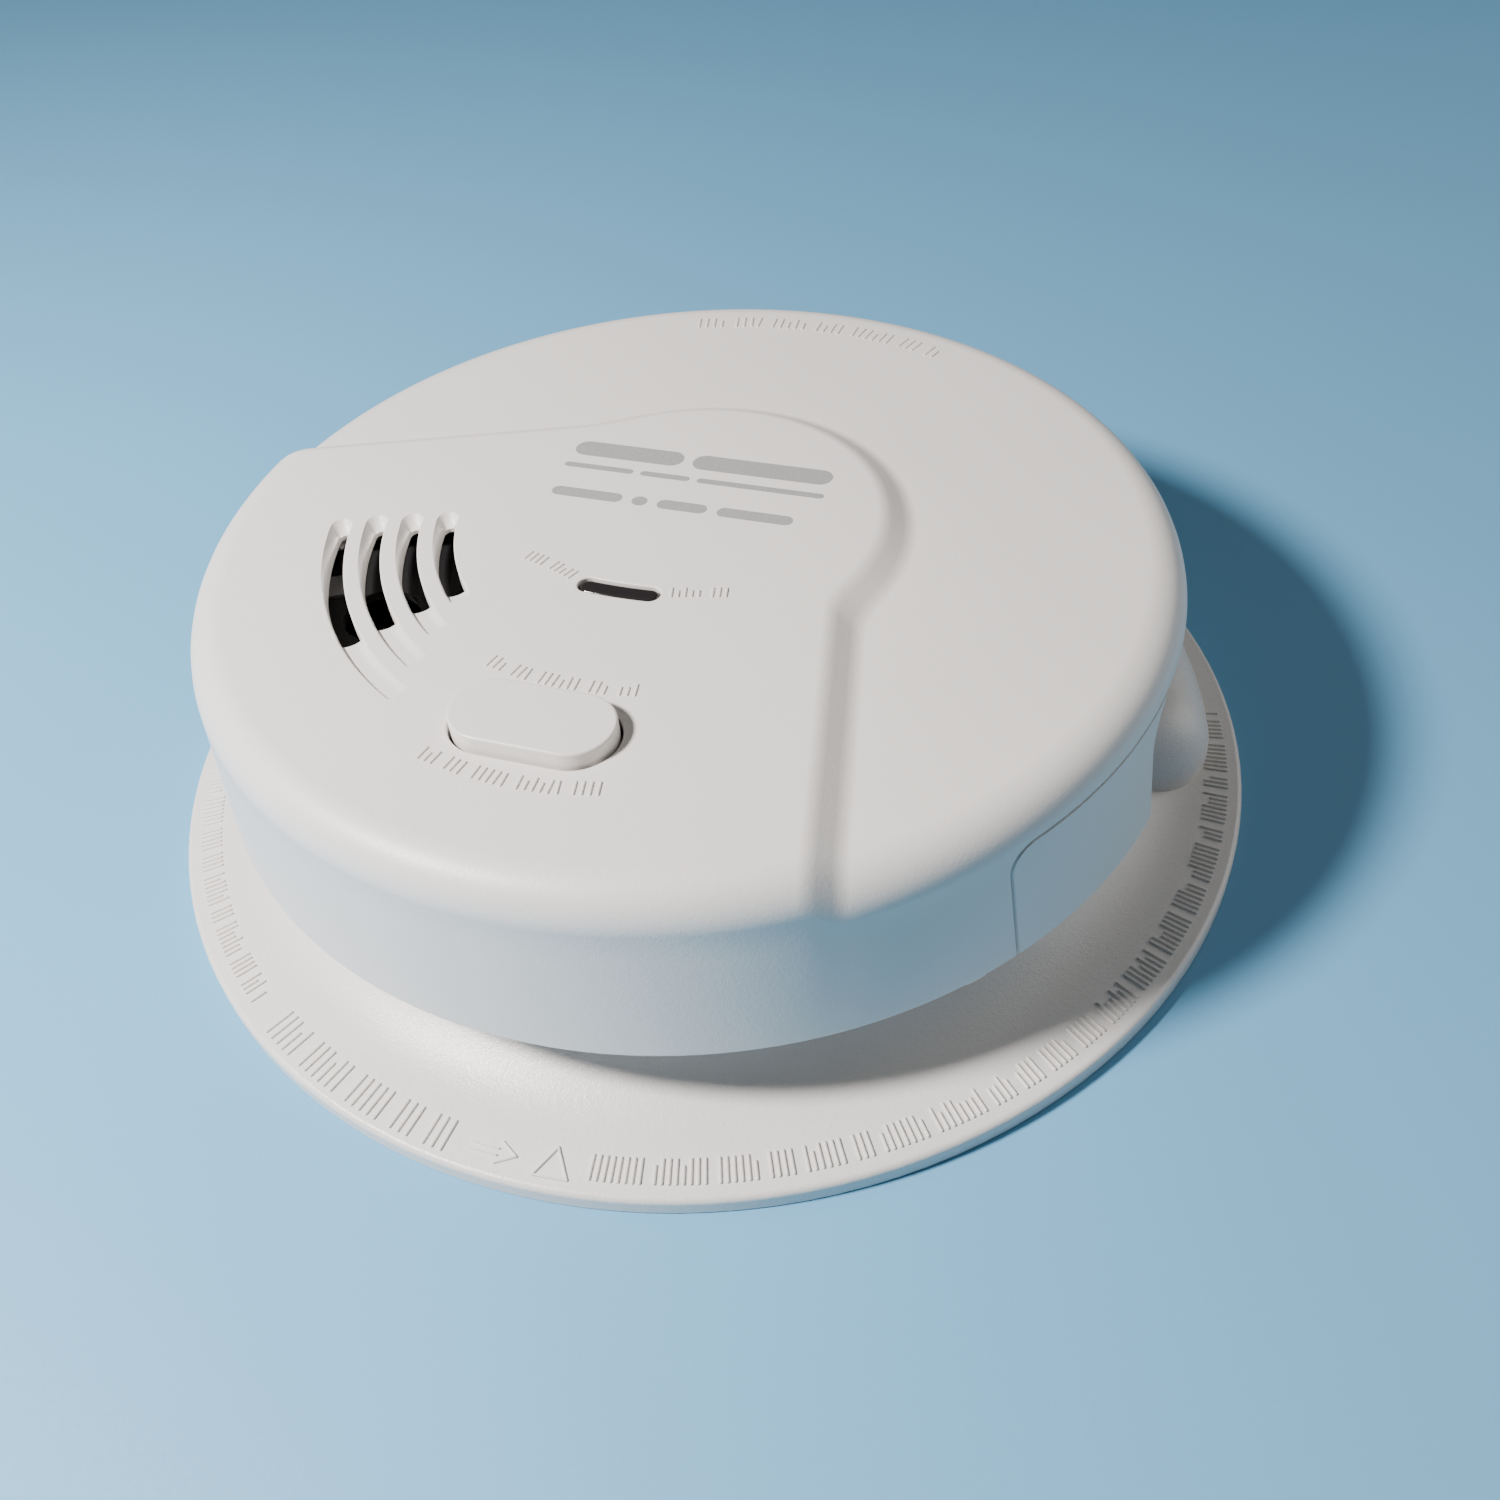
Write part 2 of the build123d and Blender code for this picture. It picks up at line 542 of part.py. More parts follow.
def battery_case():
    n0 = BATTERY_BACK_N
    z0 = BATTERY_MID_Z - BATTERY[2] / 2
    case = block(n0, n0 + BATTERY[0], BATTERY_T0, BATTERY_T1, z0, z0 + BATTERY[2])
    case = fillet(case.edges().filter_by(Axis.Y), 2.2)
    return in_drawer(case)


def terminal_n(i):
    return BATTERY_BACK_N + BATTERY[0] / 2 + (i - 0.5) * TERMINAL_PITCH


def terminal(i):
    """Snap terminal: narrow stud (i = 0) or wide socket (i = 1), axis sideways."""
    radius = (2.9, 4.1)[i]
    stud = Cylinder(radius, TERMINAL_H, align=(Align.CENTER, Align.CENTER, Align.MIN))
    stud -= Pos(0, 0, 1.2) * Cylinder(radius - 0.7, 3, align=(Align.CENTER, Align.CENTER, Align.MIN))
    return Pos(terminal_n(i), BATTERY_T1, BATTERY_MID_Z) * Rot(-90, 0, 0) * stud


def battery_terminals():
    return Compound([in_drawer(terminal(i)) for i in (0, 1)])


def contact_plate():
    plate = block(BAY_BACK_N + 0.8, 50.5, PLATE_T, PLATE_T + 1.5, DRAWER_FLOOR_Z + 3.2, DRAWER_TOP - 1.5)
    return in_drawer(plate)


def battery_contacts():
    tip = BATTERY_T1 + TERMINAL_H + 0.3
    clips = []
    for i in (0, 1):
        n = terminal_n(i)
        clip = block(n - 3, n + 3, PLATE_T - 0.5, PLATE_T, BATTERY_MID_Z - 5, BATTERY_MID_Z + 3.5)
        clip += block(n - 1.6, n + 1.6, tip, PLATE_T - 0.4, BATTERY_MID_Z - 1.6, BATTERY_MID_Z + 1.6)
        clips.append(in_drawer(clip))
    return Compound(clips)


# ---------------------------------------------------------------- circuit board and what it carries
def circuit_board():
    board = disc(BOARD_R, BOARD_Z, BOARD_TOP) & in_drawer(block(-FAR, BOARD_LIMIT_N, -FAR, FAR, 0, 60))
    for a in COVER_SCREW_A:
        board -= disc(3.6, 0, 60, polar(COVER_SCREW_R, a))
    for xy in BOARD_SCREWS:
        board -= disc(1.5, 0, 60, xy)
    for i in (-1, 0, 1):
        board -= pin_blade(i, 0, 60)
    return board


def board_screws():
    screws = []
    for xy in BOARD_SCREWS:
        x, y = xy
        screw = disc(2.6, BOARD_TOP, BOARD_TOP + 1.6, xy) + disc(1.15, BOARD_Z - 5, BOARD_TOP, xy)
        screws.append(screw - block(x - 1.9, x + 1.9, y - 0.35, y + 0.35, BOARD_TOP + 0.8, BOARD_TOP + 3))
    return Compound(screws)


def chamber_base():
    base = disc(CHAMBER_R, BOARD_TOP, BOARD_TOP + 2.0, CHAMBER_XY)
    base += tube(CHAMBER_R - 3.4, CHAMBER_R - 4.4, BOARD_TOP + 1.5, BOARD_TOP + 4.0, CHAMBER_XY)
    x, y = CHAMBER_XY
    for side in (-1, 1):
        base += block(x + side * 9 - 3, x + side * 9 + 3, y - 3, y + 3, BOARD_TOP + 1.5, BOARD_TOP + 6.5)
        base -= optic(side, 0.05)
    return base


def optic(side, clearance=0.0):
    """Lamp or sensor inside the smoke chamber, lying toward its middle."""
    x, y = CHAMBER_XY
    lamp = Rot(0, -90 * side, 0) * Cylinder(1.5 + clearance, 6, align=(Align.CENTER, Align.CENTER, Align.MIN))
    return Pos(x + side * 10.5, y, BOARD_TOP + 4.2) * lamp


def chamber_cap():
    top = 34.6
    cap = tube(CHAMBER_R - 1.0, CHAMBER_R - 2.2, BOARD_TOP + 2.0, top, CHAMBER_XY)
    cap += disc(CHAMBER_R - 1.0, top - 1.4, top, CHAMBER_XY)
    x, y = CHAMBER_XY
    for i in range(20):
        gap = Rot(0, 0, i * 18) * block(CHAMBER_R - 4, CHAMBER_R + 1, -1.6, 1.6, BOARD_TOP + 4.5, top - 2.6)
        cap -= Pos(x, y, 0) * gap
    return cap


def insect_screen():
    return tube(CHAMBER_R - 0.3, CHAMBER_R - 0.9, BOARD_TOP + 2.0, 34.0, CHAMBER_XY)


def ion_can():
    can = tube(10.4, 9.8, BOARD_TOP, 33.6, ION_XY) + disc(10.4, 33.0, 33.6, ION_XY)
    x, y = ION_XY
    for i in range(12):
        gap = Rot(0, 0, i * 30) * block(8, 12, -1.2, 1.2, BOARD_TOP + 3, 30.5)
        can -= Pos(x, y, 0) * gap
    return can


def ion_electrode():
    post = disc(1.6, BOARD_TOP, BOARD_TOP + 4, ION_XY) + disc(6.5, BOARD_TOP + 4, BOARD_TOP + 4.6, ION_XY)
    return post + disc(2.5, BOARD_TOP + 4.6, BOARD_TOP + 6.0, ION_XY)


def horn_housing():
    cup = tube(HORN_R, HORN_R - 1.5, BOARD_TOP, HORN_TOP, HORN_XY)
    cup += tube(HORN_R - 1.0, HORN_R - 3.4, 27.0, 28.4, HORN_XY)
    cup += tube(HORN_R, 5.0, HORN_TOP - 1.2, HORN_TOP, HORN_XY)
    return cup


def horn_clip():
    """Flat tinned clip that lies over the horn and hooks down outside it."""
    top = HORN_TOP + CLIP_T
    clip = block(*CLIP_R, -CLIP_W / 2, CLIP_W / 2, HORN_TOP, top)
    clip += block(CLIP_R[1] - CLIP_T, CLIP_R[1], -CLIP_W / 2, CLIP_W / 2, HORN_TOP - 6, top)
    return Pos(SLOT_CENTRE[0], SLOT_CENTRE[1], 0) * Rot(0, 0, CLIP_A) * clip


def piezo_disc():
    plate = disc(HORN_R - 1.7, 28.4, 28.7, HORN_XY)
    return plate + disc(9.5, 28.7, 29.0, HORN_XY)


def film_capacitor():
    box = block(-47, -30, 16, 24, BOARD_TOP, BOARD_TOP + 11)
    return fillet(box.edges().filter_by(Axis.Z), 0.8)


def can_capacitor():
    can = disc(4.8, BOARD_TOP, BOARD_TOP + 11.5, (-22.2, -3.4))
    return fillet(can.edges().group_by(Axis.Z)[-1], 0.7)


def surge_disc():
    puck = Pos(-30, 33, BOARD_TOP + 5.6) * Rot(90, 0, 0) * Cylinder(4.6, 3.6)
    return puck + block(-31, -29, 32.4, 33.6, BOARD_TOP, BOARD_TOP + 2)


def control_chip():
    body = block(-6, 14, -31, -24.6, BOARD_TOP + 0.6, BOARD_TOP + 4.0)
    for i in range(8):
        x = -4.9 + i * 2.54
        body += block(x - 0.3, x + 0.3, -32, -23.6, BOARD_TOP, BOARD_TOP + 1.6)
    return body


def resistors():
    bodies = []
    for x in (12.0, 15.4, 18.8):
        rod = Pos(x, -15, BOARD_TOP + 1.7) * Rot(90, 0, 0) * Cylinder(1.2, 6.5)
        legs = block(x - 0.3, x + 0.3, -20, -10, BOARD_TOP + 1.4, BOARD_TOP + 2.0)
        legs += block(x - 0.3, x + 0.3, -20, -19.4, BOARD_TOP, BOARD_TOP + 2.0)
        legs += block(x - 0.3, x + 0.3, -10.6, -10, BOARD_TOP, BOARD_TOP + 2.0)
        bodies.append(rod + legs)
    return Compound(bodies)


# ---------------------------------------------------------------- write one file per sub-part
NODES = {
    "trim_ring": trim_ring(),
    "rear_housing": rear_housing(),
    "battery_bay": battery_bay(),
    "board_spacers": board_spacers(),
    "front_cover": front_cover(),
    "cover_screws": cover_screws(),
    "rear_label": rear_label(),
    "power_socket": power_socket(),
    "power_pins": power_pins(),
    "circuit_board": circuit_board(),
    "board_screws": board_screws(),
    "chamber_base": chamber_base(),
    "chamber_cap": chamber_cap(),
    "insect_screen": insect_screen(),
    "infrared_lamp": optic(-1),
    "photodiode": optic(1),
    "ion_can": ion_can(),
    "ion_electrode": ion_electrode(),
    "horn_housing": horn_housing(),
    "horn_clip": horn_clip(),
    "piezo_disc": piezo_disc(),
    "light_pipe": light_pipe(),
    "power_led": indicator_led(LED_X[0]),
    "alarm_led": indicator_led(LED_X[1]),
    "test_button": test_button(),
    "button_spring": button_spring(),
    "tact_switch": tact_switch(),
    "switch_plunger": switch_plunger(),
    "battery_drawer": battery_drawer(),
    "battery_case": battery_case(),
    "battery_terminals": battery_terminals(),
    "contact_plate": contact_plate(),
    "battery_contacts": battery_contacts(),
    "film_capacitor": film_capacitor(),
    "can_capacitor": can_capacitor(),
    "surge_disc": surge_disc(),
    "control_chip": control_chip(),
    "resistors": resistors(),
}

os.makedirs("parts", exist_ok=True)
for name, shape in NODES.items():
    export_step(shape, f"parts/{name}.step")
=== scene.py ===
import json
import math
import random

import bmesh
import bpy
import numpy as np
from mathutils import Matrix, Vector
from mathutils.geometry import delaunay_2d_cdt
from mathutils.kdtree import KDTree


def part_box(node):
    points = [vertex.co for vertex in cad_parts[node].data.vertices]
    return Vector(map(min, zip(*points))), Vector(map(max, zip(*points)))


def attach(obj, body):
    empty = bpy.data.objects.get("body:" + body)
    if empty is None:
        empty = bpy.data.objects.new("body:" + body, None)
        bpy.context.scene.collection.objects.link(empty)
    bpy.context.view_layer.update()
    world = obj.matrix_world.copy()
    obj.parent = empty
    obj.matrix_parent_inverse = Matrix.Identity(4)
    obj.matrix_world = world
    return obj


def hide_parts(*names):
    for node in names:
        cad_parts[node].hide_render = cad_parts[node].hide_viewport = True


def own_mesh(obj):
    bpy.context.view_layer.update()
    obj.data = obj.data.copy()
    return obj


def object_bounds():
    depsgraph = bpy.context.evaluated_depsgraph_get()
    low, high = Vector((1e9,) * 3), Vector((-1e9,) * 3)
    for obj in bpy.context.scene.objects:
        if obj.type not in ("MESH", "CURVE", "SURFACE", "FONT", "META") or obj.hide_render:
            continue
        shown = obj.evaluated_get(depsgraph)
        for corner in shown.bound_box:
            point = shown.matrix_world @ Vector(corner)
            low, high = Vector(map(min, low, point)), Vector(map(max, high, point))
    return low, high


# Looks of a mains smoke alarm. Shapes are drawn in millimetres, in the frame of the CAD model,
# and turned into metres when a mesh is made.

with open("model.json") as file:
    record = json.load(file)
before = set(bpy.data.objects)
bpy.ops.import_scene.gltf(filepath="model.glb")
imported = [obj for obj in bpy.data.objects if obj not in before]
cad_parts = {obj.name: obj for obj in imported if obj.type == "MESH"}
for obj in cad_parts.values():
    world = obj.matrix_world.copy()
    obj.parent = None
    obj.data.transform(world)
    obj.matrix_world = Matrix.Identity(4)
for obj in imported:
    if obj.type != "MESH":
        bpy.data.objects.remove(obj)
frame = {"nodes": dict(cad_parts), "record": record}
cad_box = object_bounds()

MM = 0.001
WELD_PER_MM = 2000       # points that share one of these steps become one

# ---------------------------------------------------------------- driving dimensions, millimetres
RING_LIP_H = 2.5
BAND_INNER_R = 70.4
BAND_INNER_H = 2.9
BAND_RUN = 5.0           # width over which the band falls to the lip

RIM_R = 66.1             # cover, at its lower rim
WALL_TOP_R = 64.5        # cover, where the edge round begins
RIM_Z = 15.9
FACE_Z = 37.6
EDGE_ROUND = 5.2
COVER_T = 2.0
FIELD_H = 2.4            # raised field above the face
FIELD_SLOPE = 5.2        # plan width of its sloped border
FIELD_Z = FACE_Z + FIELD_H
FIELD_BLEND = 2.2        # rounding where its head meets its straight edges
HEAD = (0.0, 1.0)
HEAD_R = 25.0
EDGE_A = (22.0, -9.7)
EDGE_A_DIR = -77.8
EDGE_B = (-27.1, 15.3)
EDGE_B_DIR = 200.5
EDGE_BACK = 12.0         # the borders run this far back under the round head

SLOT_CENTRE = (0.9, 2.4)
SLOT_RADII = (33.1, 37.9, 42.7, 47.4)
SLOT_HALF = 1.25
SLOT_TOP_A = (-163.1, -163.1, -163.1, -162.5)
SLOT_END_A = (-136.0, -134.7, -133.6, -132.7)
SLOT_TOP_W = (1.9, 1.65, 1.55, 1.6)     # width of each opening at its top
SLOT_SCOOP = 0.6         # the opening has its full width from here on, as a share of its length
SLOT_DISH = 1.85         # length of the dished ramp above each opening
DISH_DEPTH = 1.1
DISH_WIDE = 0.8          # width past the soft edge at which its section is fully hollow
DISH_FULL = 1.3          # width past the soft edge at which it has its full depth
SLOT_CORNER = 1.1        # largest radius at the top of an opening
SLOT_BULGE = 0.35        # the lower end of an opening curves out by this
BULGE_RUN = 1.5          # over this length
SLOT_FOOT = 1.2          # the edge deepens to the groove over this length
GROOVE_END_A = (-132.3, -125.9, -121.1, -117.0)
GROOVE_DEPTH = 0.5
GROOVE_FADE = 0.65       # share of its depth lost along the groove
GROOVE_END = 0.6         # length of its ramp up to the face
GROOVE_SIDE = 1.3        # width of its gentle inner side
GROOVE_SIDE_RUN = 1.5    # the inner side becomes gentle over this length
POCKET_Z = 38.1          # the wall is thinner behind the slots
POCKET_R = (30.4, 50.1)
POCKET_A = (-168.3, -129.0)
POCKET_RAMP = 0.4

WINDOW_XY = (-2.8, -15.8)
WINDOW_BEND_R = 60.0
WINDOW_HALF_A = 3.9
WINDOW_W = 2.8
LENS_GAP = 0.1
LENS_SINK = 0.15
LENS_EDGE = 0.7
LENS_LIP_W = 0.9
LENS_LIP_T = 1.2
GUIDE_X = 3.2            # the two light guides, each side of the window's middle
GUIDE_R = 1.6
GUIDE_GAP = 0.3          # above the lamps

BUTTON_XY = (-2.8, -41.2)
BUTTON_L = 20.0
BUTTON_W = 10.0
BUTTON_TOP = 42.0
BUTTON_GAP = 0.35
BUTTON_EDGE = 0.32
BUTTON_LIP_SINK = 0.3    # lip below the underside of the face
BUTTON_LIP_W = 1.2
BUTTON_LIP_T = 1.2
STEM_R = 1.5
STEM_FOOT = 6.35         # above the circuit board
SPRING_R = 2.35          # middle of the wire
SPRING_WIRE = 0.28       # wire radius
SPRING_TURNS = 5

# marks round the ring: first and last angle, inner and outer radius, pitch, width, most in a group
RING_MARK_H = 0.28
RING_MARKS = (
    (-160.0, -122.5, 71.4, 74.0, 0.8, 0.34, 8),
    (-118.5, -95.2, 71.1, 74.8, 1.15, 0.42, 6),
    (-81.3, 16.0, 71.2, 74.1, 0.8, 0.36, 8),
)
# marks on the face: path, height of the surface, length, pitch, width, most in a group
FACE_MARK_H = 0.2
FACE_MARKS = (
    (((-16.8, -11.9), (-13.0, -13.0), (-9.2, -14.6)), FIELD_Z, 1.9, 0.85, 0.32, 5),
    (((3.9, -14.9), (7.5, -14.0), (11.2, -13.2)), FIELD_Z, 1.9, 0.85, 0.32, 5),
    (((-12.6, -31.9), (-8.0, -33.0), (-2.8, -33.4), (2.6, -33.2), (7.4, -32.4)), FIELD_Z, 2.1, 0.9, 0.32, 6),
    (((-13.4, -47.9), (-8.0, -49.0), (-2.8, -49.5), (3.0, -49.2), (8.6, -48.0)), FIELD_Z, 2.1, 0.9, 0.32, 6),
    (((-16.9, 53.7), (-8.5, 55.7), (0.0, 56.3), (8.5, 55.7), (16.0, 54.0), (22.9, 51.4)),
     FACE_Z, 2.9, 1.2, 0.42, 6),
)
# arrow on the ring: angles of its tail, neck and tip, radii of its two shaft lines and of its barbs
ARROW_A = (-92.9, -90.2, -88.4)
ARROW_SHAFT_R = (72.6, 73.4)
ARROW_BARB_R = (71.7, 74.3)
ARROW_TIP_R = 73.0
# triangle on the ring: radius and angle of its point, its left and its right corner
TRIANGLE = ((70.9, -84.8), (74.6, -86.4), (74.6, -83.2))
# printed bars: middle, height, and the ends of each bar
PRINT_T = 0.02
PRINT_SINK = 0.1
PRINT_ROWS = (
    (12.9, 3.4, ((-20.6, -4.6), (-3.2, 16.6))),
    (8.7, 1.1, ((-20.6, -10.4), (-9.4, -2.2), (-1.2, 16.6))),
    (2.5, 2.0, ((-19.8, -9.6), (-8.2, -6.0), (-4.6, 2.4), (3.8, 14.2))),
)

DRAWER_DIR = -3.5
DRAWER_HALF = 36.4
DRAWER_GAP = 0.35
DRAWER_TOP = 32.2
WINDOW_CORNER = 3.0

CATCH_R = (63.6, 65.3)
CATCH_A = (-43.0, -40.6)
CATCH_Z = (14.2, 17.4)

SOFT_EDGE = 0.25         # moulded edge radius

# ---------------------------------------------------------------- camera and light, metres and watts
CAMERA_PLACE = (0.0625, -0.1403, 0.1481)
CAMERA_TURN = (45.26, 3.86, 18.02)
CAMERA_LENS = 34.1
SENSOR_WIDTH = 36.0
KEY_PLACE = (-0.232, -0.200, 0.345)
KEY_SIZE = 0.075
KEY_POWER = 20.5
FILL_PLACE = (0.75, 0.5, 0.42)
FILL_AIM = (0.05, 0.0, 0.01)
FILL_SIZE = 0.8
FILL_POWER = 3.4
SKY_COLOUR = (0.86, 0.92, 1.0, 1.0)
SKY_STRENGTH = 0.075
FLOOR_HALF = 4.0
FLOOR_GAP = 0.0002


# ---------------------------------------------------------------- shells made of patches
def unit(vectors):
    length = np.linalg.norm(vectors, axis=-1, keepdims=True)
    return vectors / np.where(length < 1e-12, 1.0, length)


def face_normals(points, faces):
    """Area-weighted normal of each corner point of a patch."""
    total = np.zeros_like(points)
    for face in faces:
        a, b, c = points[face[0]], points[face[1]], points[face[-1]]
        n = np.cross(b - a, c - a)
        for i in face:
            total[i] += n
    return unit(total)


class Shell:
    """Collects patches with their own normals and welds them into one mesh."""

    def __init__(self, name):
        self.name = name
        self.patches = []

    def add(self, points, faces, normals=None):
        points = np.asarray(points, float)
        if normals is None:
            normals = face_normals(points, faces)
        self.patches.append((points, faces, normals))

    def grid(self, rows, closed=True):
        """Patch of quads between rows of equally many points."""
        rows = np.asarray(rows, float)
        count, wide = rows.shape[:2]
        faces = []
        for i in range(count - 1):
            for j in range(wide if closed else wide - 1):
                k = (j + 1) % wide
                faces.append((i * wide + j, i * wide + k, (i + 1) * wide + k, (i + 1) * wide + j))
        self.add(rows.reshape(-1, 3), faces)

    def build(self, body, slot, *replaced):
        """Makes the welded mesh, hangs the piece under its body, gives it its slot's material, and hides the
        CAD nodes it stands for.
        """
        index = {}
        places = []
        corners = []
        polygons = []
        for points, faces, normals in self.patches:
            own = []
            for p in points:
                key = tuple(np.round(p * WELD_PER_MM).astype(int))
                if key not in index:
                    index[key] = len(places)
                    places.append(p * MM)
                own.append(index[key])
            for face in faces:
                ring = []
                for i in face:
                    if own[i] not in ring:
                        ring.append(own[i])
                if len(ring) > 2:
                    polygons.append(ring)
                    corners.append({own[i]: normals[i] for i in face})
        mesh = bpy.data.meshes.new(self.name)
        mesh.from_pydata([tuple(p) for p in places], [], polygons)
        work = bmesh.new()
        work.from_mesh(mesh)
        bmesh.ops.recalc_face_normals(work, faces=work.faces)
        work.to_mesh(mesh)
        work.free()
        mesh.update()
        wanted = [(0.0, 0.0, 0.0)] * len(mesh.loops)
        for polygon, known in zip(mesh.polygons, corners):
            polygon.use_smooth = True
            facing = np.array(polygon.normal)
            for loop in polygon.loop_indices:
                n = known[mesh.loops[loop].vertex_index]
                wanted[loop] = tuple(n if np.dot(n, facing) >= 0 else -n)
        mesh.normals_split_custom_set(wanted)
        piece = bpy.data.objects.new(self.name, mesh)
        bpy.context.scene.collection.objects.link(piece)
        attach(piece, body)
        mesh.materials.append(MATERIALS[slot])
        if replaced:
            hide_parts(*replaced)
        return piece


# ---------------------------------------------------------------- outlines in plan
def direction(degrees):
    return np.array([math.cos(math.radians(degrees)), math.sin(math.radians(degrees))])


def arc_points(centre, r, a0, a1, step=0.8):
    count = max(2, int(abs(math.radians(a1 - a0)) * r / step) + 1)
    angles = np.radians(np.linspace(a0, a1, count))
    return [(centre[0] + r * math.cos(a), centre[1] + r * math.sin(a)) for a in angles]


def line_points(a, b, step=0.8):
    count = max(2, int(math.dist(a, b) / step) + 1)
    return [tuple(np.array(a) + (np.array(b) - np.array(a)) * t) for t in np.linspace(0, 1, count)]


def closed_path(*stretches):
    """Joins stretches of points into one loop without doubled points."""
    path = []
    for stretch in stretches:
        for p in stretch:
            if not path or math.dist(p, path[-1]) > 1e-6:
                path.append(tuple(p))
    if math.dist(path[0], path[-1]) < 1e-6:
        path.pop()
    return np.array(path)


def stadium(centre, length, width, step=0.5):
    r = width / 2
    x, y = centre
    half = length / 2 - r
    return closed_path(
        line_points((x - half, y - r), (x + half, y - r), step),
        arc_points((x + half, y), r, -90, 90, step),
        line_points((x + half, y + r), (x - half, y + r), step),
        arc_points((x - half, y), r, 90, 270, step),
    )


def window_outline(width):
    """Curved slot with round ends, counter-clockwise."""
    step = 0.3
    centre = (WINDOW_XY[0], WINDOW_XY[1] + WINDOW_BEND_R)
    a0, a1 = -90 - WINDOW_HALF_A, -90 + WINDOW_HALF_A
    end0 = np.array(centre) + WINDOW_BEND_R * direction(a0)
    end1 = np.array(centre) + WINDOW_BEND_R * direction(a1)
    return closed_path(
        arc_points(centre, WINDOW_BEND_R + width / 2, a0, a1, step),
        arc_points(end1, width / 2, a1, a1 + 180, step),
        arc_points(centre, WINDOW_BEND_R - width / 2, a1, a0, step),
        arc_points(end0, width / 2, a0 + 180, a0 + 360, step),
    )


def offset_loop(loop, distance):
    """Moves a counter-clockwise loop outward by a plan distance."""
    before = np.roll(loop, 1, 0)
    after = np.roll(loop, -1, 0)
    d0 = unit(loop - before)
    d1 = unit(after - loop)
    n0 = np.c_[d0[:, 1], -d0[:, 0]]
    n1 = np.c_[d1[:, 1], -d1[:, 0]]
    middle = unit(n0 + n1)
    stretch = np.clip((middle * n0).sum(1), 0.5, 1.0)
    return loop + middle * (distance / stretch)[:, None]


def inside(points, loop):
    """Which plan points lie inside a closed loop."""
    x, y = points[:, 0], points[:, 1]
    result = np.zeros(len(points), bool)
    previous = loop[-1]
    for current in loop:
        (x0, y0), (x1, y1) = previous, current
        crosses = (y0 > y) != (y1 > y)
        with np.errstate(divide="ignore", invalid="ignore"):
            at = (x1 - x0) * (y - y0) / (y1 - y0) + x0
        result ^= crosses & (x < at)
        previous = current
    return result


def plan_mesh(outline, holes=(), lines=(), fill=()):
    """Triangles inside the outline and outside the holes, along all given lines."""
    points = []
    edges = []
    loops = [(loop, True) for loop in (outline, *holes)]
    for path, is_loop in loops + [(line, False) for line in lines]:
        first = len(points)
        points += [tuple(p) for p in path]
        edges += [(first + i, first + i + 1) for i in range(len(path) - 1)]
        if is_loop:
            edges.append((len(points) - 1, first))
    tree = KDTree(len(points))
    for i, p in enumerate(points):
        tree.insert((p[0], p[1], 0), i)
    tree.balance()
    fill = np.reshape(fill, (-1, 3))
    keep = inside(fill[:, :2], outline)
    for hole in holes:
        keep &= ~inside(fill[:, :2], hole)
    for x, y, room in fill[keep]:
        if tree.find((x, y, 0))[2] > room:
            points.append((x, y))
    out, _, triangles, origin, _, _ = delaunay_2d_cdt([Vector(p) for p in points], edges, [], 0, 1e-5)
    plan = np.array([points[o[0]] if o else tuple(v) for v, o in zip(out, origin)])
    triangles = np.array(triangles)
    middle = plan[triangles].mean(1)
    good = inside(middle, outline)
    for hole in holes:
        good &= ~inside(middle, hole)
    return plan, [tuple(t) for t in triangles[good]]


# ---------------------------------------------------------------- the cover's surface
def soft_ramp(t, soft=0.36):
    """0 to 1 along a straight slope with rounded ends."""
    t = np.clip(t, 0.0, 1.0)
    gain = 1.0 / (1.0 - soft)
    low = gain * t * t / (2 * soft)
    high = 1 - gain * (1 - t) ** 2 / (2 * soft)
    middle = gain * (t - soft / 2)
    return np.where(t < soft, low, np.where(t > 1 - soft, high, middle))


OUT_A = np.array([-direction(EDGE_A_DIR)[1], direction(EDGE_A_DIR)[0]])
OUT_B = np.array([direction(EDGE_B_DIR)[1], -direction(EDGE_B_DIR)[0]])
BACK_A = np.array(EDGE_A) - EDGE_BACK * direction(EDGE_A_DIR)
BACK_B = np.array(EDGE_B) - EDGE_BACK * direction(EDGE_B_DIR)
OUT_C = unit(np.array([-(BACK_B - BACK_A)[1], (BACK_B - BACK_A)[0]]) * -1.0)


def field_distance(xy):
    """Plan distance outside the crest of the raised field."""
    head = np.hypot(xy[:, 0] - HEAD[0], xy[:, 1] - HEAD[1]) - HEAD_R
    a = (xy - np.array(EDGE_A)) @ OUT_A
    b = (xy - np.array(EDGE_B)) @ OUT_B
    c = (xy - BACK_A) @ OUT_C
    wedge = np.maximum(np.maximum(a, b), c)
    share = np.clip(0.5 + 0.5 * (wedge - head) / FIELD_BLEND, 0.0, 1.0)
    return wedge * (1 - share) + head * share - FIELD_BLEND * share * (1 - share)


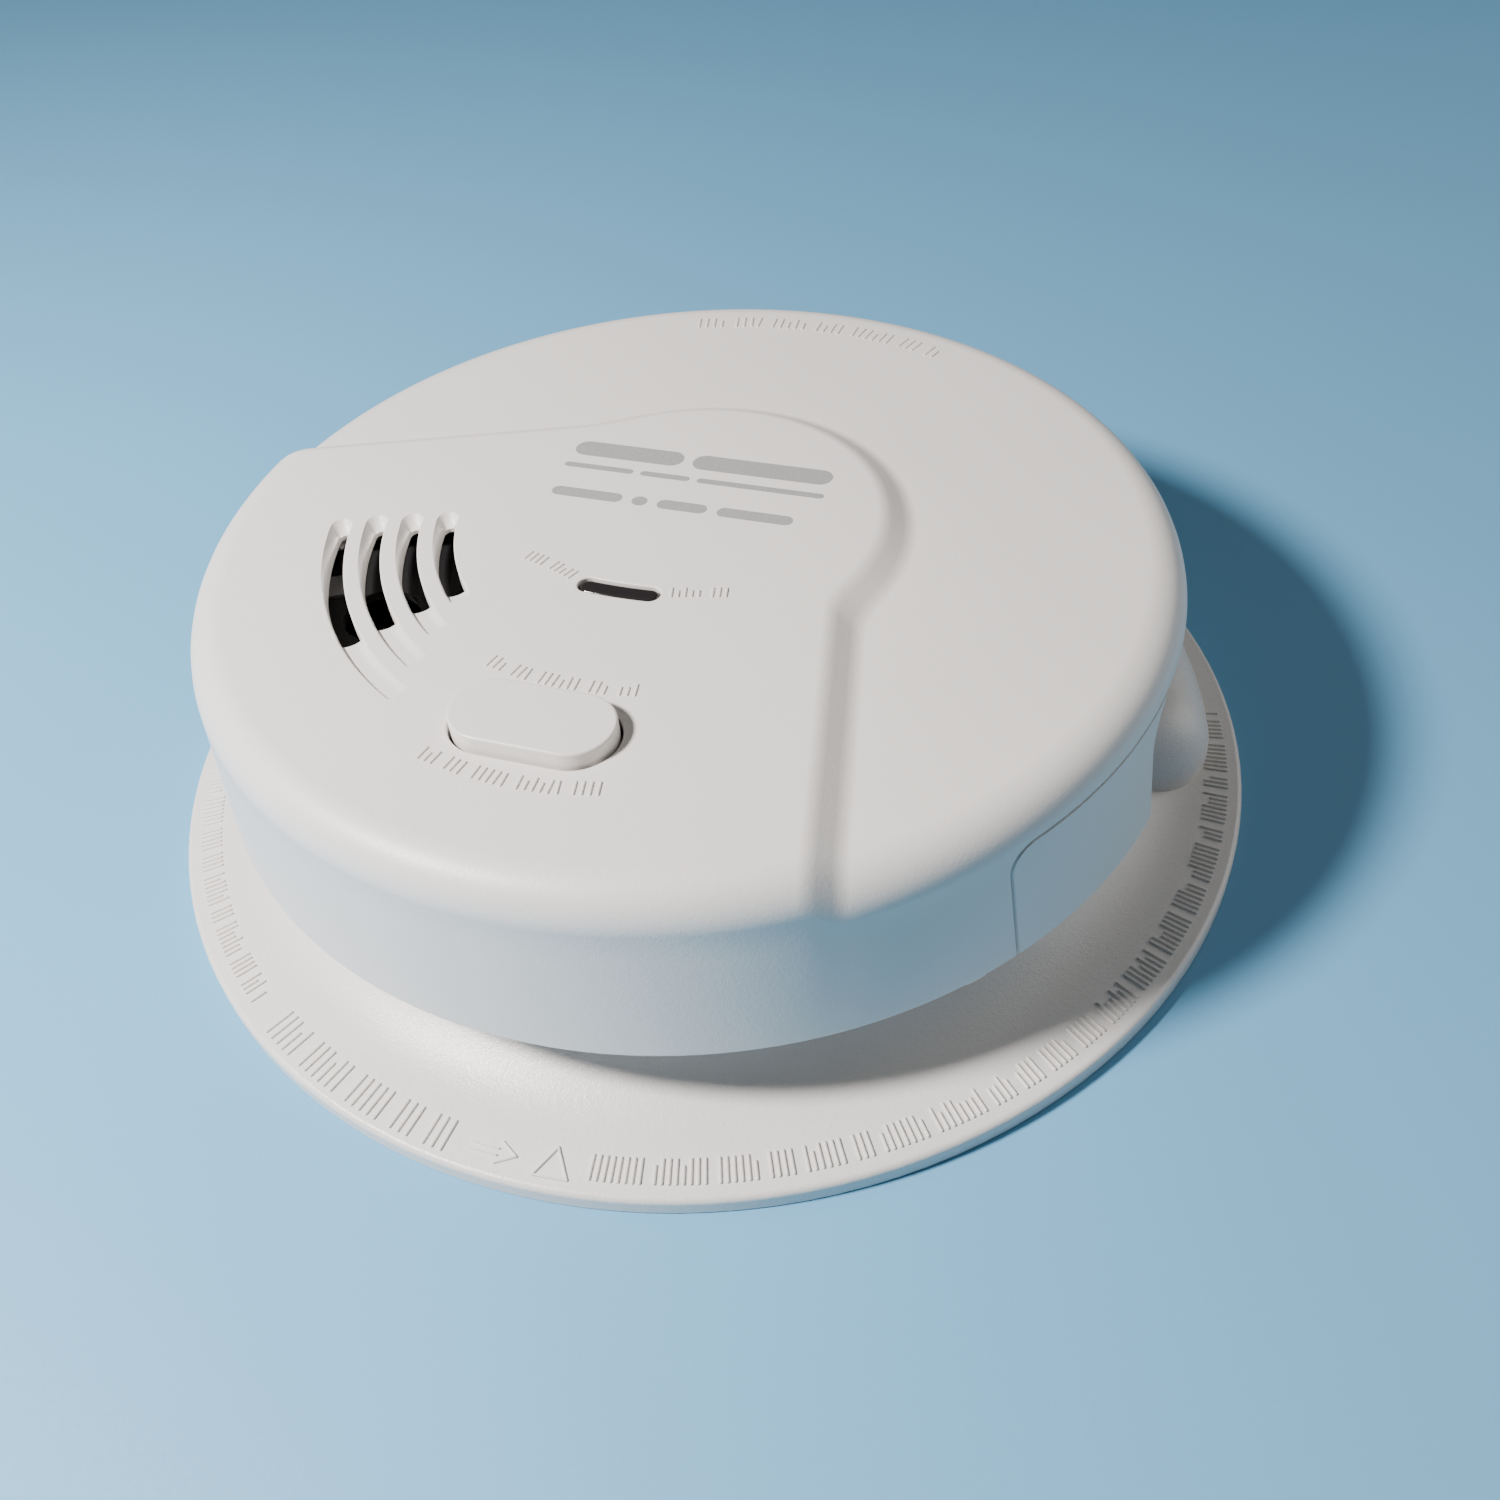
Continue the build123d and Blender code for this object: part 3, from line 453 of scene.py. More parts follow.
class Skin:
    """Round skin of the cover, unrolled: radius on the flat, then arc length down the edge."""

    def __init__(self, top_z, round_r, wall_r, rim_r, has_field):
        self.top_z = top_z
        self.round_r = round_r
        self.flat_r = wall_r - round_r
        self.wall_r = wall_r
        self.rim_r = rim_r
        self.has_field = has_field
        self.wall_at = self.flat_r + round_r * math.pi / 2
        self.rim_at = self.wall_at + (top_z - round_r - RIM_Z)

    def place(self, plan):
        """Unrolled plan points to points in space."""
        rho = np.linalg.norm(plan, axis=1)
        way = plan / np.where(rho < 1e-9, 1.0, rho)[:, None]
        turn = np.clip((rho - self.flat_r) / self.round_r, 0, math.pi / 2)
        r = np.where(rho < self.flat_r, rho, self.flat_r + self.round_r * np.sin(turn))
        top = np.full(len(plan), self.top_z)
        if self.has_field:
            top = top + FIELD_H * (1 - soft_ramp(field_distance(way * r[:, None]) / FIELD_SLOPE))
        else:
            top = top + pocket_rise(way * r[:, None])
        down = np.clip((rho - self.wall_at) / (self.rim_at - self.wall_at), 0, 1)
        z = top - self.round_r * (1 - np.cos(turn))
        z = z * (1 - down) + RIM_Z * down
        r = r + (self.rim_r - self.wall_r) * down
        return np.c_[way * r[:, None], z]

    def normals(self, plan):
        h = 0.01
        rho = np.linalg.norm(plan, axis=1, keepdims=True)
        way = np.where(rho < 1e-6, np.array([[1.0, 0.0]]), plan / np.maximum(rho, 1e-9))
        side = np.c_[-way[:, 1], way[:, 0]]
        along = self.place(plan) - self.place(plan - way * h)
        across = self.place(plan + side * h) - self.place(plan - side * h)
        return unit(np.cross(along, across))

    def unrolled(self, xy, z):
        """Plan point of the place on the wall or edge at that height, in the direction of xy."""
        way = np.array(xy) / np.linalg.norm(xy)
        wall_top = self.top_z - self.round_r
        if z < wall_top:
            rho = self.wall_at + (self.rim_at - self.wall_at) * (wall_top - z) / (wall_top - RIM_Z)
        else:
            rho = self.flat_r + self.round_r * math.acos(1 - (self.top_z - z) / self.round_r)
        return way * rho

    def radius_at(self, z):
        wall_top = self.top_z - self.round_r
        if z < wall_top:
            return self.wall_r + (self.rim_r - self.wall_r) * (wall_top - z) / (wall_top - RIM_Z)
        drop = 1 - (self.top_z - z) / self.round_r
        return self.flat_r + self.round_r * math.sqrt(1 - drop * drop)


def pocket_rise(xy):
    """Extra height of the underside in the pocket behind the slots."""
    x, y = xy[:, 0] - SLOT_CENTRE[0], xy[:, 1] - SLOT_CENTRE[1]
    r = np.hypot(x, y)
    a = np.degrees(np.arctan2(y, x))
    outside = np.maximum.reduce([
        POCKET_R[0] - r, r - POCKET_R[1],
        np.radians(POCKET_A[0] - a) * r, np.radians(a - POCKET_A[1]) * r,
    ])
    return (POCKET_Z - FACE_Z + COVER_T) * (1 - np.clip(outside / POCKET_RAMP, 0, 1))


OUTER = Skin(FACE_Z, EDGE_ROUND, WALL_TOP_R, RIM_R, True)
INNER = Skin(FACE_Z - COVER_T, EDGE_ROUND - COVER_T, WALL_TOP_R - COVER_T, RIM_R - COVER_T, False)


def drawer_outline():
    """(sideways, height) points of the opening for the drawer, from its lower left to its lower right."""
    half = DRAWER_HALF + DRAWER_GAP
    top = DRAWER_TOP + DRAWER_GAP
    r = WINDOW_CORNER + DRAWER_GAP
    return closed_path(
        line_points((-half, RIM_Z), (-half, top - r), 1.0),
        arc_points((-half + r, top - r), r, 180, 90, 0.4),
        line_points((-half + r, top), (half - r, top), 0.8),
        arc_points((half - r, top - r), r, 90, 0, 0.4),
        line_points((half, top - r), (half, RIM_Z), 1.0),
    )


def wall_loop(skin):
    """The cover's lower boundary, unrolled: round the rim, and round the drawer's opening."""
    turn = math.radians(DRAWER_DIR)
    out = np.array([math.cos(turn), math.sin(turn)])
    side = np.array([-math.sin(turn), math.cos(turn)])
    opening = []
    for t, z in drawer_outline():
        r = skin.radius_at(z)
        xy = out * math.sqrt(r * r - t * t) + side * t
        opening.append(skin.unrolled(xy, z))
    half = math.asin((DRAWER_HALF + DRAWER_GAP) / skin.rim_r)
    a0 = turn + half
    a1 = turn - half + 2 * math.pi
    around = [tuple(skin.rim_at * np.array([math.cos(a), math.sin(a)]))
              for a in np.linspace(a0, a1, 281)[1:-1]]
    return np.array([tuple(p) for p in opening] + around)


def resampled(path, count):
    """Evenly spaced points along a path."""
    path = np.array(path, float)
    run = np.r_[0, np.cumsum(np.linalg.norm(np.diff(path, axis=0), axis=1))]
    at = np.linspace(0, run[-1], count)
    return np.c_[np.interp(at, run, path[:, 0]), np.interp(at, run, path[:, 1])]


def field_lines():
    """Lines along the sloped border of the raised field, unrolled."""
    lines = []
    for d in np.r_[-0.2, np.linspace(0, FIELD_SLOPE, 12), FIELD_SLOPE + 0.2]:
        r = HEAD_R + d
        ends = []
        for start, way, out in ((EDGE_B, EDGE_B_DIR, OUT_B), (EDGE_A, EDGE_A_DIR, OUT_A)):
            p = np.array(start) + out * d - np.array(HEAD)
            w = direction(way)
            along = p @ w
            reach = -along + math.sqrt(along * along - p @ p + r * r)
            meet = p + w * reach + np.array(HEAD)
            gap = meet @ w
            far = -gap + math.sqrt(gap * gap - meet @ meet + (WALL_TOP_R - 0.02) ** 2)
            ends.append((meet, meet + w * far))
        (meet_b, far_b), (meet_a, far_a) = ends
        a0 = math.degrees(math.atan2(meet_a[1] - HEAD[1], meet_a[0] - HEAD[0]))
        a1 = math.degrees(math.atan2(meet_b[1] - HEAD[1], meet_b[0] - HEAD[0]))
        path = list(reversed(line_points(meet_a, far_a, 0.1)))
        path += arc_points(HEAD, r, a0, a1 if a1 > a0 else a1 + 360, 0.7)[1:-1]
        path += line_points(meet_b, far_b, 0.1)
        flat = []
        for p in path:
            r_xy = math.hypot(*p)
            if r_xy > OUTER.flat_r:
                turn = math.asin(min(1.0, (r_xy - OUTER.flat_r) / OUTER.round_r))
                rho = OUTER.flat_r + OUTER.round_r * turn
                p = np.array(p) * rho / r_xy
            flat.append(tuple(p))
        span = np.linalg.norm(np.diff(flat, axis=0), axis=1).sum()
        lines.append(resampled(flat, int(span / 0.6)))
    return lines


def fill_points(skin, spacing, edge_rings, columns):
    """Loose points for the flat, and rings of points down the edge and wall."""
    fill = []
    row = spacing * math.sqrt(0.75)
    count = int(skin.flat_r / row) + 1
    for j in range(-count, count + 1):
        for i in range(-count - 4, count + 5):
            x = (i + 0.5 * (j % 2)) * spacing
            y = j * row
            if math.hypot(x, y) < skin.flat_r - 0.4:
                fill.append((x, y, spacing * 0.55))
    heights = list(np.linspace(skin.flat_r, skin.wall_at, edge_rings))
    heights += list(np.linspace(skin.wall_at, skin.rim_at, 6)[1:-1])
    for k, rho in enumerate(heights):
        for i in range(columns):
            a = 2 * math.pi * (i + 0.5 * (k % 2)) / columns
            fill.append((rho * math.cos(a), rho * math.sin(a), 0.28))
    return fill


# ---------------------------------------------------------------- slots
FILLET = (0.0, 0.25, 0.45, 0.62, 0.77, 0.9, 1.0)     # steps across a moulded edge


class Slot:
    """One sounder slot, drawn across (outward) and along (from its top) its arc."""

    def __init__(self, r0, top_a, end_a, groove_a, top_w):
        self.r0 = r0
        self.top_a = math.radians(top_a)
        self.length = math.radians(end_a - top_a) * r0
        self.groove = math.radians(groove_a - top_a) * r0
        self.top_w = top_w

    def plan(self, drawn):
        drawn = np.asarray(drawn, float)
        across, along = drawn[..., 0], drawn[..., 1]
        end = np.clip(1 - np.abs(along - self.length) / BULGE_RUN, 0, 1)
        bulge = SLOT_BULGE * end * np.clip(1 - np.abs(across / SLOT_HALF) ** 2.5, 0, 1)
        a = self.top_a + (along + bulge) / self.r0
        r = self.r0 + across
        return np.stack([SLOT_CENTRE[0] + r * np.cos(a), SLOT_CENTRE[1] + r * np.sin(a)], -1)

    def outlines(self):
        """Outer line of the dished edge, and line of the opening, from the lower outer corner on."""
        half, e, length = SLOT_HALF, SOFT_EDGE, self.length
        scoop = SLOT_SCOOP * length
        corner = min(SLOT_CORNER, 0.65 * self.top_w)
        side = -half + self.top_w
        low = np.linspace(length, scoop, 16)
        high = np.linspace(scoop, corner, 20)[1:]
        outer = [(half + e, t) for t in (*low, *high)]
        opening = [(half, t) for t in low]
        opening += [(side + (half - side) * (t - corner) / (scoop - corner), t) for t in high]
        quarter = np.linspace(0, math.pi / 2, 10)
        top = [(side - corner + corner * math.cos(a), corner - corner * math.sin(a)) for a in quarter]
        top.append((-half, 0.0))
        dish = [(half + e, corner)]
        for a in np.linspace(0, math.pi, 30):
            dish.append(((half + e) * math.cos(a), -SLOT_DISH * math.sin(a) ** 0.9))
        steps = 24
        outer += [tuple(p) for p in resampled(dish, steps)[1:]]
        opening += [tuple(p) for p in resampled(top, steps)[1:]]
        down = np.linspace(0, length, 26)[1:]
        outer += [(-half - e, t) for t in down]
        opening += [(-half, t) for t in down]
        return np.array(outer), np.array(opening)

    def opening_depth(self, outer, opening):
        width = np.linalg.norm(outer - opening, axis=1)
        dish = DISH_DEPTH * np.clip((width - SOFT_EDGE) / DISH_FULL, 0, 1)
        near_end = np.clip(1 - (self.length - opening[:, 1]) / SLOT_FOOT, 0, 1)
        return SOFT_EDGE + dish + GROOVE_DEPTH * near_end

    def build(self, shell):
        """Adds the slot's surfaces, and returns its outer loop and its opening's loop in plan."""
        outer, opening = self.outlines()
        depth = self.opening_depth(outer, opening)
        wide = np.clip((np.linalg.norm(outer - opening, axis=1) - SOFT_EDGE) / DISH_WIDE, 0, 1)
        rows = []
        for t in FILLET:
            flat = self.plan(outer + (opening - outer) * t)
            hollow = 1 - (1 - t) ** 1.7
            share = wide * hollow + (1 - wide) * (1 - math.sqrt(1 - t * t))
            rows.append(np.c_[flat, FIELD_Z - depth * share])
        shell.grid(rows, closed=False)
        # the shallow groove beyond the lower end
        half, e = SLOT_HALF, SOFT_EDGE
        edge = [(half + e - e * t, 1 - math.sqrt(1 - t * t)) for t in FILLET]
        middle = [(v, 1.0) for v in np.linspace(half, -half, 9)[1:-1]]
        columns = edge + middle + [(-v, share) for v, share in reversed(edge)]
        stations = [self.length, self.length + 0.07, self.length + 0.25]
        stations += list(np.linspace(self.length + 0.25, self.groove - GROOVE_END, 12)[1:])
        stations += [self.groove - 0.45, self.groove - 0.3, self.groove - 0.15, self.groove]
        grid = []
        for n, s in enumerate(stations):
            run = (s - self.length) / (self.groove - self.length)
            floor = GROOVE_DEPTH * (1 - GROOVE_FADE * run)
            if n < 2:
                floor = GROOVE_DEPTH + (e, 0.1)[n]
            floor *= float(soft_ramp((self.groove - s) / GROOVE_END))
            soft = min(1.0, (s - self.length) / GROOVE_SIDE_RUN)
            row = []
            for v, share in columns:
                if v < 0:
                    gentle = float(soft_ramp((v + half + e) / GROOVE_SIDE))
                    share = share * (1 - soft) + gentle * soft
                x, y = self.plan((v, s))
                row.append((x, y, FIELD_Z - floor * share))
            grid.append(row)
        shell.grid(grid, closed=False)
        foot = [(v, self.length) for v, _ in reversed(middle)]
        hole = self.plan([*opening, *foot])
        hole_z = np.r_[FIELD_Z - depth, [FIELD_Z - GROOVE_DEPTH - e] * len(middle)]
        shell.grid([np.c_[hole, hole_z], np.c_[hole, np.full(len(hole), POCKET_Z)]])
        side_a = [(half + e, s) for s in reversed(stations[1:])]
        side_b = [(-half - e, s) for s in stations[1:]]
        last = [(v, self.groove) for v, _ in reversed(columns[1:-1])]
        loop = self.plan([*side_a, *outer, *side_b, *last])
        return loop, hole


# ---------------------------------------------------------------- soft edges and simple forms
def bend(a, corner, b):
    """Rows that round an edge from a to b."""
    rows = []
    for t in np.linspace(0, 1, 5):
        rows.append(a * (1 - t) ** 2 + corner * 2 * t * (1 - t) + b * t * t)
    return rows


def cap(shell, loop, z, up):
    """Flat face inside a plan loop."""
    plan, faces = plan_mesh(loop)
    shell.add(np.c_[plan, np.full(len(plan), z)], faces, np.tile((0.0, 0.0, up), (len(plan), 1)))


def turned(shell, outline, levels):
    """Upright form: its plan outline grown by each level's offset, at each level's height."""
    rows = [np.c_[offset_loop(outline, grow) if grow else outline, np.full(len(outline), z)]
            for grow, z in levels]
    shell.grid(rows)
    cap(shell, rows[0][:, :2], levels[0][1], 1.0)
    cap(shell, rows[-1][:, :2], levels[-1][1], -1.0)


def edge_levels(top, radius):
    """Levels that round the upper edge of a turned form."""
    levels = []
    for a in np.linspace(0, math.pi / 2, 7):
        levels.append((-radius * (1 - math.sin(a)), top - radius * (1 - math.cos(a))))
    return levels


def circle(centre, r):
    return np.array([(centre[0] + r * math.cos(a), centre[1] + r * math.sin(a))
                     for a in np.linspace(0, 2 * math.pi, 28, endpoint=False)])


# end of a raised stroke: share of its half width, and girth there
BAR_END = ((0.0, 0.05), (0.15, 0.6), (0.5, 0.9), (1.0, 1.0))
BAR_SIDES = 12


def raised_bar(shell, centre, along, length, width, height):
    """Small raised stroke with a rounded top, half sunk in the surface it stands on."""
    centre = np.array(centre, float)
    along = unit(np.array(along, float))
    side = unit(np.cross((0.0, 0.0, 1.0), along))
    up = unit(np.cross(along, side))
    end = width / 2
    stations = [(-length / 2 + share * end, scale) for share, scale in BAR_END]
    stations += [(-x, scale) for x, scale in reversed(stations)]
    rows = []
    for x, scale in stations:
        ring = []
        for a in np.linspace(0, 2 * math.pi, BAR_SIDES, endpoint=False):
            c, s = math.cos(a), math.sin(a)
            across = math.copysign(abs(c) ** 0.7, c) * width / 2 * scale
            rise = math.copysign(abs(s) ** 0.7, s) * height * scale ** 0.5
            ring.append(centre + along * x + side * across + up * rise)
        rows.append(ring)
    shell.grid(rows)
    shell.add(rows[0], [tuple(range(BAR_SIDES))])
    shell.add(rows[-1], [tuple(reversed(range(BAR_SIDES)))])


# ---------------------------------------------------------------- materials
def linear(value):
    """Screen colour value, 0 to 255, to light."""
    v = value / 255
    return v / 12.92 if v <= 0.04045 else ((v + 0.055) / 1.055) ** 2.4


def shade(r, g, b):
    return (linear(r), linear(g), linear(b), 1.0)


class Mix:
    """Small helper for one node material."""

    def __init__(self, name):
        self.material = bpy.data.materials.new(name)
        self.material.use_nodes = True
        self.tree = self.material.node_tree
        self.shader = self.tree.nodes["Principled BSDF"]
        self.place = self.tree.nodes.new("ShaderNodeTexCoord").outputs["Object"]

    def node(self, kind, **values):
        node = self.tree.nodes.new(kind)
        for key, value in values.items():
            if key in node.inputs:
                node.inputs[key].default_value = value
            else:
                setattr(node, key, value)
        return node

    def join(self, a, b):
        self.tree.links.new(a, b)

    def noise(self, scale, detail=3.0, rough=0.55):
        node = self.node("ShaderNodeTexNoise", Scale=scale, Detail=detail, Roughness=rough)
        self.join(self.place, node.inputs["Vector"])
        return node.outputs["Fac"]

    def span(self, value, low, high, out_low, out_high):
        node = self.node("ShaderNodeMapRange")
        limits = {"From Min": low, "From Max": high, "To Min": out_low, "To Max": out_high}
        for key, number in limits.items():
            node.inputs[key].default_value = number
        self.join(value, node.inputs["Value"])
        return node.outputs["Result"]

    def blend(self, value, a, b):
        node = self.node("ShaderNodeMix", data_type="RGBA")
        node.inputs["A"].default_value = a
        node.inputs["B"].default_value = b
        self.join(value, node.inputs["Factor"])
        return node.outputs["Result"]

    def bump(self, height, distance, strength=1.0, before=None):
        node = self.node("ShaderNodeBump", Distance=distance, Strength=strength)
        self.join(height, node.inputs["Height"])
        if before is not None:
            self.join(before, node.inputs["Normal"])
        return node.outputs["Normal"]

    def finish(self, colour, roughness, normal=None, **constants):
        self.join(colour, self.shader.inputs["Base Color"])
        self.join(roughness, self.shader.inputs["Roughness"])
        if normal is not None:
            self.join(normal, self.shader.inputs["Normal"])
        for key, value in constants.items():
            self.shader.inputs[key.replace("_", " ")].default_value = value
        return self.material


def tinted(colour, factor):
    return tuple(c * factor for c in colour[:3]) + (1.0,)


def moulded(name, colour, roughness, grain, depth):
    """Moulded plastic: spark-eroded grain, faint flow marks and uneven gloss."""
    m = Mix(name)
    fine = m.noise(grain, 2.0, 0.6)
    coarse = m.noise(grain / 3.2, 2.0, 0.5)
    flow = m.noise(28.0, 3.0, 0.55)
    colour_out = m.blend(m.span(flow, 0.3, 0.7, 0.0, 1.0), tinted(colour, 0.985), tinted(colour, 1.012))
    rough_out = m.span(fine, 0.25, 0.75, roughness - 0.06, roughness + 0.06)
    normal = m.bump(fine, depth * MM, 1.0)
    normal = m.bump(coarse, depth * 1.3 * MM, 0.6, normal)
    return m.finish(colour_out, rough_out, normal)


def glossy(name, colour, roughness, **constants):
    """Polished plastic or lacquer with the faint waviness of a real surface."""
    m = Mix(name)
    wave = m.noise(450.0, 2.0, 0.5)
    colour_out = m.blend(m.noise(140.0), tinted(colour, 0.9), tinted(colour, 1.1))
    rough_out = m.span(m.noise(900.0), 0.3, 0.7, max(0.02, roughness - 0.03), roughness + 0.04)
    return m.finish(colour_out, rough_out, m.bump(wave, 0.01 * MM, 0.5), **constants)


def metal(name, colour, roughness, stretch=(1.0, 1.0, 14.0)):
    """Plated or drawn metal with fine drawing lines."""
    m = Mix(name)
    lines = m.node("ShaderNodeMapping")
    lines.inputs["Scale"].default_value = stretch
    m.join(m.place, lines.inputs["Vector"])
    noise = m.node("ShaderNodeTexNoise", Scale=900.0, Detail=3.0)
    m.join(lines.outputs["Vector"], noise.inputs["Vector"])
    tone = m.blend(m.noise(220.0), tinted(colour, 0.86), tinted(colour, 1.08))
    rough_out = m.span(noise.outputs["Fac"], 0.3, 0.7, roughness - 0.07, roughness + 0.09)
    normal = m.bump(noise.outputs["Fac"], 0.012 * MM, 0.8)
    return m.finish(tone, rough_out, normal, Metallic=1.0)


def circuit_board():
    """Green lacquer over copper tracks."""
    m = Mix("board_lacquer")
    turned_place = m.node("ShaderNodeMapping")
    turned_place.inputs["Rotation"].default_value = (0.0, 0.0, math.radians(45))
    m.join(m.place, turned_place.inputs["Vector"])
    bricks = m.node("ShaderNodeTexBrick", Scale=240.0, offset=0.5)
    bricks.inputs["Mortar Size"].default_value = 0.045
    bricks.inputs["Brick Width"].default_value = 1.7
    m.join(m.place, bricks.inputs["Vector"])
    cells = m.node("ShaderNodeTexVoronoi", Scale=330.0, feature="DISTANCE_TO_EDGE")
    m.join(turned_place.outputs["Vector"], cells.inputs["Vector"])
    tracks = m.span(cells.outputs["Distance"], 0.06, 0.1, 1.0, 0.0)
    base = m.blend(tracks, shade(16, 84, 44), shade(38, 122, 66))
    tint = m.node("ShaderNodeMix", data_type="RGBA", blend_type="MULTIPLY")
    tint.inputs["Factor"].default_value = 0.35
    m.join(base, tint.inputs["A"])
    m.join(bricks.outputs["Color"], tint.inputs["B"])
    normal = m.bump(tracks, 0.03 * MM, 0.8)
    return m.finish(tint.outputs["Result"], m.span(m.noise(500.0), 0.3, 0.7, 0.22, 0.36), normal)


def woven_screen():
    """Fine wire cloth."""
    m = Mix("wire_cloth")
    across = m.node("ShaderNodeTexWave", Scale=900.0, wave_type="BANDS", bands_direction="Z")
    around = m.node("ShaderNodeTexWave", Scale=900.0, wave_type="BANDS", bands_direction="DIAGONAL")
    for wave in (across, around):
        m.join(m.place, wave.inputs["Vector"])
    weave = m.node("ShaderNodeMath", operation="MULTIPLY")
    m.join(across.outputs["Fac"], weave.inputs[0])
    m.join(around.outputs["Fac"], weave.inputs[1])
    colour = m.blend(weave.outputs["Value"], shade(40, 40, 40), shade(170, 170, 166))
    normal = m.bump(weave.outputs["Value"], 0.08 * MM)
    return m.finish(colour, m.span(weave.outputs["Value"], 0, 1, 0.6, 0.35), normal, Metallic=0.8)


def ink():
    """Pad-printed grey ink with tiny pinholes."""
    m = Mix("printed_ink")
    holes = m.span(m.noise(5200.0, 1.0), 0.32, 0.4, 0.0, 1.0)
    colour = m.blend(holes, shade(182, 180, 178), shade(150, 150, 150))
    return m.finish(colour, m.span(m.noise(2500.0), 0.3, 0.7, 0.38, 0.5), m.bump(holes, 0.01 * MM))


def floor_paper():
    """Matt blue card."""
    m = Mix("floor_paper")
    colour = m.blend(m.noise(6.0, 4.0), shade(104, 168, 208), shade(108, 172, 211))
    rough_out = m.span(m.noise(900.0), 0.3, 0.7, 0.5, 0.6)
    return m.finish(colour, rough_out, m.bump(m.noise(1800.0), 0.03 * MM, 0.5))


WARM_WHITE = shade(226, 222, 218)
MATERIALS = {
    "ring_plastic": moulded("ring_plastic", WARM_WHITE, 0.3, 4200.0, 0.045),
    "cover_plastic": moulded("cover_plastic", WARM_WHITE, 0.4, 5200.0, 0.022),
    "housing_plastic": moulded("housing_plastic", shade(222, 218, 212), 0.52, 3600.0, 0.03),
    "drawer_plastic": moulded("drawer_plastic", WARM_WHITE, 0.4, 5200.0, 0.022),
    "button_plastic": moulded("button_plastic", shade(225, 221, 217), 0.28, 4200.0, 0.008),
    "window_plastic": glossy("window_plastic", shade(34, 31, 32), 0.1),
    "black_plastic": moulded("black_plastic", shade(17, 16, 16), 0.5, 3000.0, 0.03),
    "grey_plastic": moulded("grey_plastic", shade(20, 19, 20), 0.55, 3000.0, 0.03),
    "board": circuit_board(),
    "steel": metal("zinc_steel", (0.60, 0.60, 0.61, 1.0), 0.34),
    "tin": metal("tin_plate", (0.66, 0.67, 0.68, 1.0), 0.4),
    "brass": metal("brass", (0.78, 0.58, 0.27, 1.0), 0.3, (3.0, 3.0, 3.0)),
    "screen": woven_screen(),
    "lamp_green": glossy("lamp_green", shade(70, 190, 96), 0.07, Transmission_Weight=0.6),
    "lamp_red": glossy("lamp_red", shade(200, 52, 44), 0.07, Transmission_Weight=0.6),
    "lamp_clear": glossy("lamp_clear", shade(205, 214, 226), 0.05, Transmission_Weight=0.8),
    "battery_jacket": glossy("battery_jacket", shade(62, 64, 68), 0.28, Metallic=0.7),
    "capacitor_film": glossy("capacitor_film", shade(205, 176, 58), 0.3),
    "capacitor_can": glossy("capacitor_can", shade(40, 52, 92), 0.25, Coat_Weight=0.4),
    "surge_coat": glossy("surge_coat", shade(48, 96, 166), 0.2, Coat_Weight=0.5),
    "chip": moulded("chip_epoxy", shade(30, 30, 30), 0.6, 5200.0, 0.02),
    "resistor_coat": glossy("resistor_coat", shade(206, 184, 146), 0.3),
    "label": moulded("label_paper", shade(232, 231, 226), 0.6, 5200.0, 0.01),
}


# ---------------------------------------------------------------- the alarm's own pieces
def build_cover():
    """Cover with its raised field, slots, window and button holes, and the opening for the drawer."""
    shell = Shell("cover_shell")
    holes, openings = [], []
    for sizes in zip(SLOT_RADII, SLOT_TOP_A, SLOT_END_A, GROOVE_END_A, SLOT_TOP_W):
        loop, opening = Slot(*sizes).build(shell)
        holes.append(loop)
        openings.append(opening)
    button = stadium(BUTTON_XY, BUTTON_L + 2 * BUTTON_GAP, BUTTON_W + 2 * BUTTON_GAP)
    under_z = FACE_Z - COVER_T
    for outline in (button, window_outline(WINDOW_W)):
        rim = offset_loop(outline, SOFT_EDGE)
        at_top = np.c_[rim, np.full(len(rim), FIELD_Z)]
        corner = np.c_[outline, np.full(len(rim), FIELD_Z)]
        below = corner - (0, 0, SOFT_EDGE)
        foot = np.c_[outline, np.full(len(rim), under_z)]
        shell.grid(bend(at_top, corner, below) + [foot])
        holes.append(rim)
        openings.append(outline)
    outline = wall_loop(OUTER)
    rim = offset_loop(outline, -SOFT_EDGE)
    corner = OUTER.place(outline)
    inner_loop = wall_loop(INNER)
    inside_edge = INNER.place(inner_loop)
    below = corner + unit(inside_edge - corner) * SOFT_EDGE
    shell.grid(bend(OUTER.place(rim), corner, below) + [inside_edge])
    loose = fill_points(OUTER, spacing=2.1, edge_rings=10, columns=320)
    plan, faces = plan_mesh(rim, holes, field_lines(), loose)
    shell.add(OUTER.place(plan), faces, OUTER.normals(plan))
    loose = fill_points(INNER, spacing=4.0, edge_rings=5, columns=160)
    plan, faces = plan_mesh(inner_loop, openings, pocket_lines(), loose)
    shell.add(INNER.place(plan), faces)
    # small catch under the rim beside the drawer
    low, high = CATCH_Z
    catch = sector_outline(*CATCH_R, *CATCH_A)
    turned(shell, catch, [(0.0, high), (0.0, low + 0.2), (-0.06, low + 0.06), (-0.2, low)])
    shell.build("alarm", "cover_plastic", "front_cover")


def sector_outline(r0, r1, a0, a1):
    """Plan outline of part of a ring, anticlockwise."""
    return closed_path(arc_points((0, 0), r1, a0, a1, 0.4), arc_points((0, 0), r0, a1, a0, 0.4))


